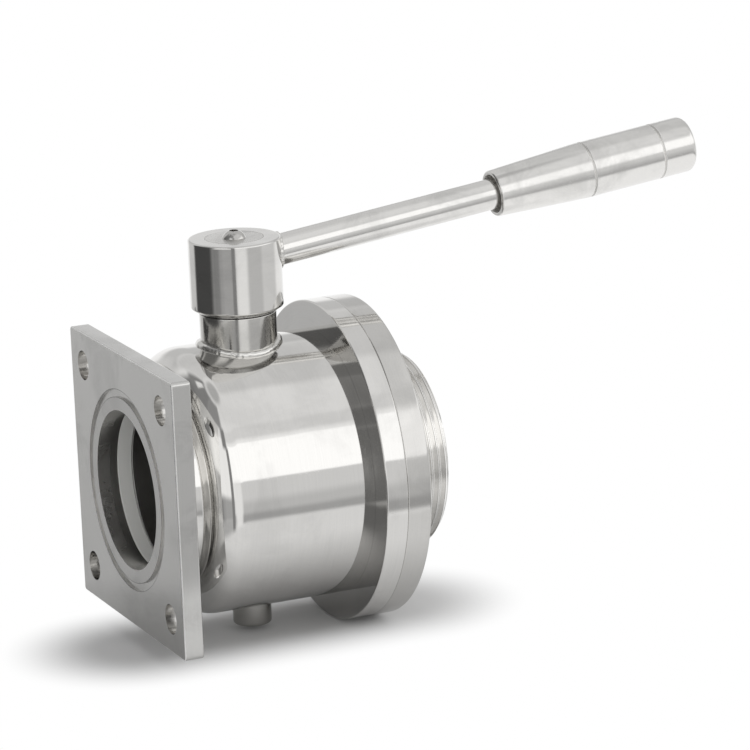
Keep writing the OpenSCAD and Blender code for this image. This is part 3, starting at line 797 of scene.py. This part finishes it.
# Stem and its seals.
# The stem drops in from below: tang in the ball's slot, collar under a thrust washer, journal
# with two O-rings, guide sleeve at the top, and a square that turns in the lever's hub.

turned_stem = steel("turned_stem", stem_axis, (0.72, 0.71, 0.69), 0.2,
                    lines=(0.2, 0.003), waves=(8, 0.015))
for node_name in ("stem", "stop_pin"):
    dress(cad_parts[node_name], turned_stem)
for node_name in ("thrust_washer", "guide_bush"):
    dress(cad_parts[node_name], ptfe)
for node_name in ("lower_stem_o_ring", "upper_stem_o_ring", "body_o_ring"):
    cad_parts[node_name].data.shade_smooth()
    dress(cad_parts[node_name], rubber)


# End flange.
# A turned disc with a pilot that centres it in the shell. It closes the ball chamber, holds
# the outlet seat, and has six sunk holes for its screws on the outlet side.

pilot_r = 37.45
pilot_x = 64.034
end_x = 77.334
foot_x = 73.034
foot_hole_r = 27.02
seal_floor_r = 35.42
seal_groove = (66.084, 68.784)
sink_x = 72.934
sink_r = 4.6
clear_r = 2.75

end_flange = turned("end_disc", [
    (bore_r, outlet_seat_x, 0.2), (pocket_r, outlet_seat_x, 0.2), (pocket_r, pilot_x, 0.3),
    (pilot_r, pilot_x, 0.4), (pilot_r, seal_groove[0]), (seal_floor_r, seal_groove[0]),
    (seal_floor_r, seal_groove[1]), (pilot_r, seal_groove[1]), (pilot_r, joint_x),
    (flange_r, joint_x, 0.3), (flange_r, end_x, 0.6),
    (foot_hole_r, end_x, 0.2), (foot_hole_r, foot_x), (bore_r, foot_x)],
    flow_axis, segments=224)
sink_profile = [
    (0, joint_x - past), (clear_r, joint_x - past), (clear_r, sink_x), (sink_r, sink_x, 0.3),
    (sink_r, end_x - 0.3), (sink_r + 0.3 + past, end_x + past), (0, end_x + past)]
cut(end_flange, *[turned("sink_cutter", sink_profile, turn @ Matrix.Translation(
    (0, 0, screw_pitch_r)) @ flow_axis, segments=48) for turn in screw_turns])
crisp(end_flange)
dress(end_flange, steel("buffed_disc", flow_axis, (0.7, 0.69, 0.67), 0.08,
                        lines=(0.25, 0.001), waves=(18, 0.03), marks=0.7))
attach(end_flange, "housing")
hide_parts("end_flange")


# Cap screws.
# Six low-headed socket screws of rolled stainless, sunk in the end flange and screwed into
# the shell's round flange from the outlet side.

screw_shank_r = 2.5
screw_len = 8
screw_head_r = 4.25
screw_head_h = 3.5
screw_hex = 3
screw_hex_depth = 1.8


def hexagon(flats):
    """The outline of a hexagon from its width across flats."""
    return arc((0, 0), flats / 2 / cos(radians(30)), 0, 360, 6)[:-1]


tree, given, result = new_group("screw_circle", {
    "Geometry": "Geometry", "Count": 6, "Pitch Radius": 0.04, "Steel": "Material"},
    {"Geometry": "Geometry"}, "Geometry")
ring = add_node(tree, "GeometryNodeMeshCircle",
                {"Vertices": given["Count"], "Radius": given["Pitch Radius"]})
half_turn = add_node(tree, "CombineXYZ", {"Z": maths(tree, "DIVIDE", pi, given["Count"])})
shifted = add_node(tree, "GeometryNodeTransform",
                   {"Geometry": ring["Mesh"], "Rotation": half_turn[0]})
set_out = add_node(tree, "GeometryNodeInstanceOnPoints",
                   {"Points": shifted[0], "Instance": given["Geometry"]})
screw_tree = end_tree(tree, given, result, set_out[0])

one_axis = Matrix.Translation((0, 0, sink_x))
cap_screws = turned("flange_screws", [
    (0, -screw_len), (screw_shank_r - 0.6, -screw_len), (screw_shank_r, -screw_len + 0.6),
    (screw_shank_r, 0, 0.1), (screw_head_r, 0, 0.15), (screw_head_r, screw_head_h, 0.5),
    (0, screw_head_h)], one_axis, segments=64)
cut(cap_screws, straight("hex_cutter", hexagon(screw_hex), screw_head_h - screw_hex_depth,
                         screw_head_h + past, one_axis))
crisp(cap_screws)
rolled = steel("rolled_screw_steel", flow_axis, (0.66, 0.655, 0.64), 0.24,
               lines=(0.3, 0.003), waves=(4, 0.02))
grow(cap_screws, screw_tree, count=screw_count, pitch_radius=screw_pitch_r * mm, steel=rolled)
# The circle lies across Z, so the set is turned to stand across the flow
cap_screws.data.transform(Matrix.Rotation(radians(90), 4, "Y"))
crisp(cap_screws)
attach(cap_screws, "housing")
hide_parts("cap_screws")


# Threaded spigot.
# A turned tube welded into the end flange, with a 2 inch parallel pipe thread, 11 to the
# inch, of rounded 55 degree form. A short relief parts the thread from the flange.

thread_r = 29.8
thread_pitch = 25.4 / 11
thread_depth = 0.6403 * thread_pitch
relief_r = 28.2
thread_x = 79.334
mouth_x = 92.334
mouth_r = 28.3
spigot_foot_r = 27
# Rise of a flank over half a pitch at 55 degrees, and the rounding of crest and root, in pitches
flank_rise = 0.96049
flank_start = 0.16
crest_round = 0.12
run_in_slope = 1.2
thread_steps = 192
rows_per_pitch = 20

tree, given, result = new_group("pipe_thread", {
    "Geometry": "Geometry", "Crest Radius": 0.03, "Pitch": 0.0023, "Depth": 0.0015,
    "Start": 0.08, "End": 0.09, "Start Radius": 0.028, "End Radius": 0.028, "Steps Round": 192,
    "Rows Per Pitch": 20, "Steel": "Material"}, {"Geometry": "Geometry"}, "Geometry")
sum_of = partial(maths, tree)
row_step = sum_of("DIVIDE", given["Pitch"], given["Rows Per Pitch"])
span = sum_of("ADD", sum_of("SUBTRACT", given["End"], given["Start"]),
              sum_of("MULTIPLY", given["Pitch"], 2))
row_count = sum_of("CEIL", sum_of("DIVIDE", span, row_step))
grid = add_node(tree, "GeometryNodeMeshGrid", {
    "Size X": 1, "Size Y": 1, "Vertices X": sum_of("ADD", given["Steps Round"], 1),
    "Vertices Y": sum_of("ADD", row_count, 1)})
part = xyz(tree, add_node(tree, "GeometryNodeInputPosition")[0])
turn_share = sum_of("ADD", part["X"], 0.5)
row_number = sum_of("ROUND", sum_of("MULTIPLY", sum_of("ADD", part["Y"], 0.5), row_count))
lead = sum_of("MULTIPLY", turn_share, given["Pitch"])
row_place = sum_of("MULTIPLY", row_number, row_step)
low_place = sum_of("SUBTRACT", given["Start"], given["Pitch"])
free_place = sum_of("ADD", sum_of("ADD", low_place, row_place), lead)
place = sum_of("MINIMUM", sum_of("MAXIMUM", free_place, given["Start"]), given["End"])
from_start = sum_of("SUBTRACT", place, given["Start"])
turns = sum_of("DIVIDE", sum_of("SUBTRACT", from_start, lead), given["Pitch"])
saw = sum_of("ABSOLUTE", sum_of("SUBTRACT", sum_of("MULTIPLY", sum_of("FRACT", turns), 2), 1))
flank = sum_of("MULTIPLY", sum_of("SUBTRACT", sum_of("MULTIPLY", saw, flank_rise), flank_start),
               given["Pitch"])
rounding = sum_of("MULTIPLY", given["Pitch"], crest_round)
capped = sum_of("SMOOTH_MIN", flank, given["Depth"], rounding)
sunk = sum_of("MAXIMUM", sum_of("SMOOTH_MAX", capped, 0, rounding), 0)
crest = sum_of("SUBTRACT", given["Crest Radius"], sunk)
run_in = sum_of("MULTIPLY_ADD", from_start, run_in_slope, given["Start Radius"])
run_out = sum_of("ADD", given["End Radius"], sum_of("SUBTRACT", given["End"], place))
spiral_r = sum_of("MINIMUM", sum_of("MINIMUM", crest, run_in), run_out)
angle = sum_of("MULTIPLY", turn_share, 2 * pi)
ring_spot = add_node(tree, "CombineXYZ", {
    "X": place, "Y": sum_of("MULTIPLY", spiral_r, sum_of("COSINE", angle)),
    "Z": sum_of("MULTIPLY", spiral_r, sum_of("SINE", angle))})
wound = add_node(tree, "GeometryNodeSetPosition",
                 {"Geometry": grid["Mesh"], "Position": ring_spot[0]})
joined = tree.nodes.new("GeometryNodeJoinGeometry")
for geometry in (wound[0], given["Geometry"]):
    tree.links.new(geometry, joined.inputs[0])
merged = add_node(tree, "GeometryNodeMergeByDistance",
                  {"Geometry": joined.outputs[0], "Distance": 2e-6})
thread_tree = end_tree(tree, given, result, merged[0])

spigot_outline = rounded_outline([
    (mouth_r, mouth_x, 0), (bore_r, mouth_x, 0.4), (bore_r, foot_x, 0.2),
    (spigot_foot_r, foot_x, 0.2), (spigot_foot_r, end_x), (relief_r, end_x),
    (relief_r, thread_x, 0)])
spigot_points = []
for row in range(thread_steps):
    angle = 2 * pi * row / thread_steps
    spigot_points += [(p.y, p.x * cos(angle), p.x * sin(angle)) for p in spigot_outline]
count = len(spigot_outline)
spigot_faces = [
    (row * count + i, row * count + i + 1,
     ((row + 1) % thread_steps) * count + i + 1, ((row + 1) % thread_steps) * count + i)
    for row in range(thread_steps) for i in range(count - 1)]
spigot = make_piece("outlet_spigot", spigot_points, spigot_faces)
thread_steel = steel("cut_thread_steel", flow_axis, (0.88, 0.87, 0.85), 0.11,
                     lines=(0.2, 0.002), waves=(9, 0.012))
grow(spigot, thread_tree, crest_radius=thread_r * mm, pitch=thread_pitch * mm,
     depth=thread_depth * mm, start=thread_x * mm, end=mouth_x * mm,
     start_radius=relief_r * mm, end_radius=mouth_r * mm, steps_round=thread_steps,
     rows_per_pitch=rows_per_pitch, steel=thread_steel)
work = bmesh.new()
work.from_mesh(spigot.data)
bmesh.ops.dissolve_degenerate(work, dist=1e-6, edges=work.edges)
bmesh.ops.recalc_face_normals(work, faces=work.faces)
work.to_mesh(spigot.data)
work.free()
crisp(spigot, 40)
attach(spigot, "housing")
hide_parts("threaded_spigot")

spigot_weld = joint_ring("spigot_weld", 320, lambda t: (
    end_x + 0.1, (relief_r + 0.15) * cos(t), (relief_r + 0.15) * sin(t)))
grow(spigot_weld, weld_bead, bead_radius=0.75 * mm, ripple_length=1.3 * mm,
     ripple_height=0.05 * mm, unevenness=0.25 * mm, seed=3.0, steel=weld_steel)
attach(spigot_weld, "housing")


# Lever hub.
# A turned and buffed drum on the stem's square, with the rod let into its side. A washer is
# let into its top, and a domed socket screw through it holds the hub down on the stem.

hub_r = 13.85
hub_z = 49.9
hub_top_z = 72.05
hub_bottom_r = 11.5
hub_cone_h = 1.5
hub_top_round = 0.55
washer_r = 8.7
washer_t = 2
washer_z = hub_top_z - washer_t
drive_w = 9.1
drive_top_z = 68.55
hub_screw_r = 2
screw_head_dome_r = 3.6
screw_dome_h = 2.3
hub_hex = 2.5
hub_hex_depth = 1.3
lever_z = 64.8
lever_tilt = 6.7
rod_r = 4.75
rod_start = 10.35
rod_cut_end = 24
hub_screw_len = 12

lever_axis = (Matrix.Translation((stem_x, 0, lever_z))
              @ Matrix.Rotation(radians(90 - lever_tilt), 4, "Y"))
hub = turned("hub_drum", [
    (hub_screw_r + 0.2, hub_z, 0.1), (hub_bottom_r, hub_z, 0.2),
    (hub_r, hub_z + hub_cone_h, 0.5), (hub_r, hub_top_z, hub_top_round),
    (washer_r + 0.05, hub_top_z, 0.18), (washer_r + 0.05, washer_z),
    (hub_screw_r + 0.2, washer_z)], stem_axis, segments=160)
half_drive = drive_w / 2
cut(hub,
    straight("drive_cutter", [(-half_drive, -half_drive), (half_drive, -half_drive),
                              (half_drive, half_drive), (-half_drive, half_drive)],
             hub_z - past, drive_top_z, stem_axis),
    bore(rod_r + fit, rod_start - 0.1, rod_cut_end, lever_axis, 64))
crisp(hub)
hub_steel = steel("buffed_hub", stem_axis, (0.76, 0.75, 0.73), 0.07,
                  lines=(0.22, 0.001), waves=(7, 0.022), marks=0.8)
# Painted shade: the cone under the drum is drawn darker and rougher, for the shade in the gap above
# the tower.
finish_and_painted_light_zone(hub_steel, stem_axis, (hub_z - 0.5, hub_z + hub_cone_h - 0.15), (0, hub_r), 0.6, 0.2)
dress(hub, hub_steel)
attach(hub, "lever_unit")
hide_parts("lever_hub")

hub_washer = turned("top_washer", [
    (hub_screw_r + 0.15, washer_z, 0.1), (washer_r, washer_z, 0.15),
    (washer_r, hub_top_z, 0.22), (hub_screw_r + 0.15, hub_top_z, 0.15)],
    stem_axis, segments=128)
crisp(hub_washer)
dress(hub_washer, steel("faced_washer", stem_axis, (0.72, 0.71, 0.69), 0.24,
                        lines=(0.25, 0.004), waves=(7, 0.01)))
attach(hub_washer, "lever_unit")
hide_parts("hub_washer")

dome_r = (screw_head_dome_r ** 2 + screw_dome_h ** 2) / (2 * screw_dome_h)
dome_reach = degrees(asin((dome_r - screw_dome_h) / dome_r))
dome = arc((0, hub_top_z + screw_dome_h - dome_r), dome_r, dome_reach, 90, 12)
hub_screw = turned("hub_cap_screw", [
    (0, hub_top_z - hub_screw_len), (hub_screw_r, hub_top_z - hub_screw_len, 0.3),
    (hub_screw_r, hub_top_z + 0.01), (screw_head_dome_r - 0.1, hub_top_z + 0.01),
    *dome[:-1], (0, hub_top_z + screw_dome_h)],
    stem_axis, segments=96)
cut(hub_screw, straight("hex_cutter", hexagon(hub_hex), hub_top_z + screw_dome_h - hub_hex_depth,
                        hub_top_z + screw_dome_h + past, stem_axis))
crisp(hub_screw)
dress(hub_screw, steel("domed_screw_steel", stem_axis, (0.66, 0.65, 0.63), 0.11,
                       lines=(0.3, 0.002), waves=(3, 0.02)))
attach(hub_screw, "lever_unit")
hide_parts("hub_screw")


# Lever rod.
# A bright drawn bar let into the hub and welded round its root. It rises a little away from
# the valve and is held 30 mm deep in the grip.

rod_end = 118.6

rod = turned("lever_bar", [
    (0, rod_start), (rod_r, rod_start, 0.3), (rod_r, rod_end, 0.3), (0, rod_end)],
    lever_axis, segments=96)
crisp(rod)
dress(rod, steel("drawn_bar", lever_axis, (0.8, 0.79, 0.77), 0.14,
                 lines=(0.25, 0.0016), waves=(16, 0.02)))
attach(rod, "lever_unit")
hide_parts("lever_rod")

tilt = radians(lever_tilt)


def rod_root(t):
    """The line where the rod's surface meets the hub's, at an angle round the rod."""
    reach = (sqrt(hub_r ** 2 - (rod_r * cos(t)) ** 2)
             + rod_r * sin(t) * sin(tilt)) / cos(tilt)
    spot = Vector((rod_r * sin(t), rod_r * cos(t), reach))
    return lever_axis @ Vector((-spot.x, spot.y, spot.z))


rod_weld = joint_ring("rod_weld", 160, rod_root)
grow(rod_weld, weld_bead, bead_radius=0.8 * mm, ripple_length=1.2 * mm,
     ripple_height=0.05 * mm, unevenness=0.4 * mm, seed=4.0, steel=weld_steel)
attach(rod_weld, "lever_unit")


# Grip.
# Turned from bar: a tapered neck with a rounded rim and a recess round the rod, a cylindrical
# hold with two V-lines, and a rounded end. It is pressed onto the rod.

grip_start = 85.6
grip_len = 67
near_r = 7.1
far_r = 8.6
taper_len = 31.4
line_places = (31.4, 55.6)
line_w = 0.8
line_depth = 0.4
rim_round = 1.1
tip_round = 1.8
recess_r = 5.95
recess_depth = 3
grip_bore_end = 34

grip_profile = [(0, grip_bore_end), (rod_r + fit, grip_bore_end), (rod_r + fit, recess_depth),
                (recess_r, recess_depth, 0.2), (recess_r, 0, 0.25), (near_r, 0, rim_round)]
grip_profile.append((far_r, taper_len - line_w / 2 - 0.6, 2))
for place in line_places:
    grip_profile += [(far_r, place - line_w / 2, 0.12), (far_r - line_depth, place, 0.1),
                     (far_r, place + line_w / 2, 0.12)]
grip_profile += [(far_r, grip_len, tip_round), (0, grip_len)]
grip = turned("turned_grip", [(p[0], p[1] + grip_start, *p[2:]) for p in grip_profile],
              lever_axis, segments=160)
crisp(grip)
grip_steel = steel("turned_grip_steel", lever_axis, (0.8, 0.79, 0.77), 0.16,
                   lines=(0.22, 0.0028), waves=(14, 0.02))
# Painted light: the recess round the rod is drawn lighter and rough, against the shade inside it.
finish_and_painted_light_zone(grip_steel, lever_axis, (grip_start + 0.1, grip_start + recess_depth + 0.2),
          (0, recess_r + 0.15), 1.2, 0.7)
# Painted light: the two V-lines are drawn a little lighter and rougher than the hold, against the
# shade in them.
for place in line_places:
    finish_and_painted_light_zone(grip_steel, lever_axis,
              (grip_start + place - line_w / 2 - 0.05, grip_start + place + line_w / 2 + 0.05),
              (far_r - line_depth - 0.1, far_r + 0.1), 1.1, 0.55)
dress(grip, grip_steel)
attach(grip, "lever_unit")
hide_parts("lever_grip")


# Studio.
# A pale round floor that fades into a white surround, soft boxes above and in front of the
# valve, and a long lens that looks a little down on the inlet side.

scene = bpy.context.scene
scene.view_settings.view_transform = "Standard"

camera_data = bpy.data.cameras.new("studio_camera")
camera_data.lens = 203.309
camera_data.sensor_width = 36
camera_data.clip_start = 0.05
camera_data.clip_end = 20
camera = bpy.data.objects.new("studio_camera", camera_data)
scene.collection.objects.link(camera)
camera.matrix_world = Matrix((
    (0.91080805, 0.13650981, -0.3896072, -0.41768668),
    (-0.4109497, 0.20982955, -0.887182, -1.13784736),
    (-0.03935794, 0.96816147, 0.24721311, 0.34082968),
    (0, 0, 0, 1)))
scene.camera = camera

floor_z = -0.049
floor_middle = (0.062, -0.02, floor_z)
floor_reach = 0.2
floor_steps = 96
floor_edge = arc(floor_middle, floor_reach, 0, 360, floor_steps)[:-1]
floor = make_piece("studio_floor", [floor_middle, *((*p, floor_z) for p in floor_edge)],
                   [(0, i + 1, (i + 1) % floor_steps + 1) for i in range(floor_steps)], scale=1)
if floor.data.polygons[0].normal.z < 0:
    floor.data.flip_normals()
floor_paint, tree, shader = blank_material("pale_floor")
shader.inputs["Roughness"].default_value = 0.9
shader.inputs["Specular IOR Level"].default_value = 0.1
where = add_node(tree, "TexCoord")["Object"]
part = xyz(tree, where)
rays = add_node(tree, "LightPath")
sum_of = partial(maths, tree)


def grey_mix(share, first, second):
    """Two greys, or a colour and a grey, mixed by a share from 0 to 1."""
    ends = [(end, end, end, 1) if isinstance(end, float) else end for end in (first, second)]
    return mix_colour(tree, share, *ends)


# Distance from the line on the floor that lies under the valve
before = sum_of("MULTIPLY", part["X"], -1)
behind = sum_of("SUBTRACT", part["X"], 0.085)
off_end = sum_of("MAXIMUM", sum_of("MAXIMUM", before, behind), 0)
apart = add_node(tree, "CombineXYZ", {"X": off_end, "Y": part["Y"]})
distance = vector_maths(tree, "LENGTH", {0: apart[0]})["Value"]
# Reflections show more of the valve's shadow than the camera does
to_camera = sum_of("MULTIPLY_ADD", rays["Is Camera Ray"], 0.9, 1)
clear = soft_step(tree, sum_of("MULTIPLY", distance, to_camera), 0.018, 0.08)
seen = sum_of("MAXIMUM", rays["Is Glossy Ray"], rays["Is Transmission Ray"])
seen = sum_of("MAXIMUM", rays["Is Camera Ray"], seen)
tree.links.new(grey_mix(rays["Is Glossy Ray"], 0.80, 0.66), shader.inputs["Base Color"])
# A dark strip lies across the floor before the valve, which only second reflections show
strip_place = sum_of("ABSOLUTE", sum_of("SUBTRACT", part["X"], 0.036))
twice = sum_of("GREATER_THAN", rays["Glossy Depth"], 1.5)
in_strip = sum_of("MULTIPLY", soft_step(tree, strip_place, 0.018, 0.007), twice)
mirrored = grey_mix(in_strip, 0.8, 0.22)
# A grey card lies on the far side of the inlet
far_side = soft_step(tree, part["Y"], 0, 0.04)
inlet_side = soft_step(tree, before, -0.01, 0.03)
mirrored = grey_mix(sum_of("MULTIPLY", far_side, inlet_side), mirrored, 0.25)
white = grey_mix(rays["Is Camera Ray"], mirrored, 1.0)
glow = add_node(tree, "Emission", {"Color": white, "Strength": 1})
centred = vector_maths(tree, "DISTANCE", {0: where, 1: floor_middle})["Value"]
fade = soft_step(tree, centred, 0.1, 0.125)
lit = add_node(tree, "MixShader",
               {0: sum_of("MULTIPLY", clear, seen), 1: shader.outputs[0], 2: glow[0]})
faded = add_node(tree, "MixShader",
                 {0: fade, 1: lit[0], 2: add_node(tree, "BsdfTransparent")[0]})
tree.links.new(faded[0], tree.nodes["Material Output"].inputs["Surface"])
dress(floor, floor_paint)

# One card or soft box of the surround, as a mask with soft edges. Angles are in degrees
card_sizes = ("Middle", "Half Width", "Bottom", "Top", "Side Blur", "End Blur")
tree, given, result = new_group(
    "studio_card", dict.fromkeys(("Bearing", "Height", *card_sizes), 0.0), {"Mask": "Float"})
sum_of = partial(maths, tree)
off_middle = sum_of("SUBTRACT", given["Bearing"], given["Middle"])
aside = sum_of("ABSOLUTE", sum_of("WRAP", off_middle, 180, -180))
mask = 1
for value, edge, blur, sign in (
        (aside, "Half Width", "Side Blur", -1), (given["Height"], "Bottom", "End Blur", 1),
        (given["Height"], "Top", "End Blur", -1)):
    inside = sum_of("MULTIPLY", sum_of("SUBTRACT", value, given[edge]), sign)
    step = soft_step(tree, inside, sum_of("MULTIPLY", given[blur], -1), given[blur])
    mask = sum_of("MULTIPLY", mask, step)
tree.links.new(mask, result["Mask"])
studio_card = tree

world = bpy.data.worlds.new("studio_surround")
scene.world = world
world.use_nodes = True
tree = world.node_tree
tree.nodes.clear()
sum_of = partial(maths, tree)
part = xyz(tree, add_node(tree, "TexCoord")["Generated"])
# Bearing 0 is towards -Y, 90 towards +X; height is above the horizon
bearing = sum_of("DEGREES", sum_of("ARCTAN2", part["X"], sum_of("MULTIPLY", part["Y"], -1)))
height = sum_of("DEGREES", sum_of("ARCSINE", part["Z"]))

# The background is white to the camera and in reflections, and 0.8 as light
rays = add_node(tree, "LightPath")
seen = sum_of("MAXIMUM", rays["Is Glossy Ray"], rays["Is Transmission Ray"])
surround = sum_of("MULTIPLY_ADD", seen, 0.2, 0.8)
# Each row is a grey level and the card's sizes in the order of card_sizes
cards = [
    (1, 0, 181, -95, -24, 1, 2),
    (0.85, 0, 181, 50, 95, 1, 3),
    (0.5, 0, 181, 78, 95, 1, 4),
    (0.78, 25, 75, 41, 51, 8, 2),
    (0.72, 42, 52, -24, 8, 7, 1.2),
    (0.58, 28, 19, -24, -8, 5, 4),
    (0.42, 30, 60, -26, -18, 6, 2.5),
    (1.26, 28, 52, 8, 38, 8, 0.8),
    (0.93, -6, 13, -35, 9, 5, 4),
    (0.6, 150, 62, 12, 34, 10, 5),
    (0.69, 150, 62, 33, 74, 10, 4),
    (0.5, -48, 30, -75, -20, 8, 4),
    (0.43, -42, 20, -22, -5, 8, 3),
    (0.26, -70, 12, -22, -6, 8, 3),
    (0.68, -157, 15, -60, 25, 6, 8),
    (0.54, -157, 15, -60, -14.5, 6, 3),
    (0.22, -108, 32, -70, 55, 8, 8),
    (0.26, -112, 34, 45, 74, 8, 4),
    (0.07, -112, 28, -60, 25, 5, 6),
    (0.25, -26, 4.5, -36, 36, 1.5, 3),
    (0.25, -33, 8, 34, 52, 3, 3),
    (0.32, -58, 26, 50, 74, 6, 3),
    (0.9, -125, 7, 56, 70, 3, 3),
]
# Cards that only second reflections show
second_cards = [
    (0.06, 130, 22, -22, 2, 5, 3),
    (0.16, -154, 9, 12, 50, 3, 3),
    (0.45, 94, 26, -66, -18, 6, 5),
    (0.56, 60, 14, -16, 8, 5, 4),
]
twice = sum_of("GREATER_THAN", rays["Glossy Depth"], 1.5)
for grey, *sizes in cards + second_cards:
    mask = add_node(tree, "Group", {
        "Bearing": bearing, "Height": height, **dict(zip(card_sizes, sizes))},
        node_tree=studio_card)["Mask"]
    if (grey, *sizes) in second_cards:
        mask = sum_of("MULTIPLY", mask, twice)
    surround = sum_of("MULTIPLY_ADD", mask, sum_of("SUBTRACT", grey, surround), surround)

grey_light = add_node(tree, "CombineColor", {"Red": surround, "Green": surround, "Blue": surround})
shown_light = grey_mix(rays["Is Camera Ray"], grey_light[0], 1.0)
glow = add_node(tree, "Background", {"Color": shown_light, "Strength": 1})
tree.links.new(glow[0], tree.nodes.new("ShaderNodeOutputWorld").inputs["Surface"])

bpy.context.view_layer.update()
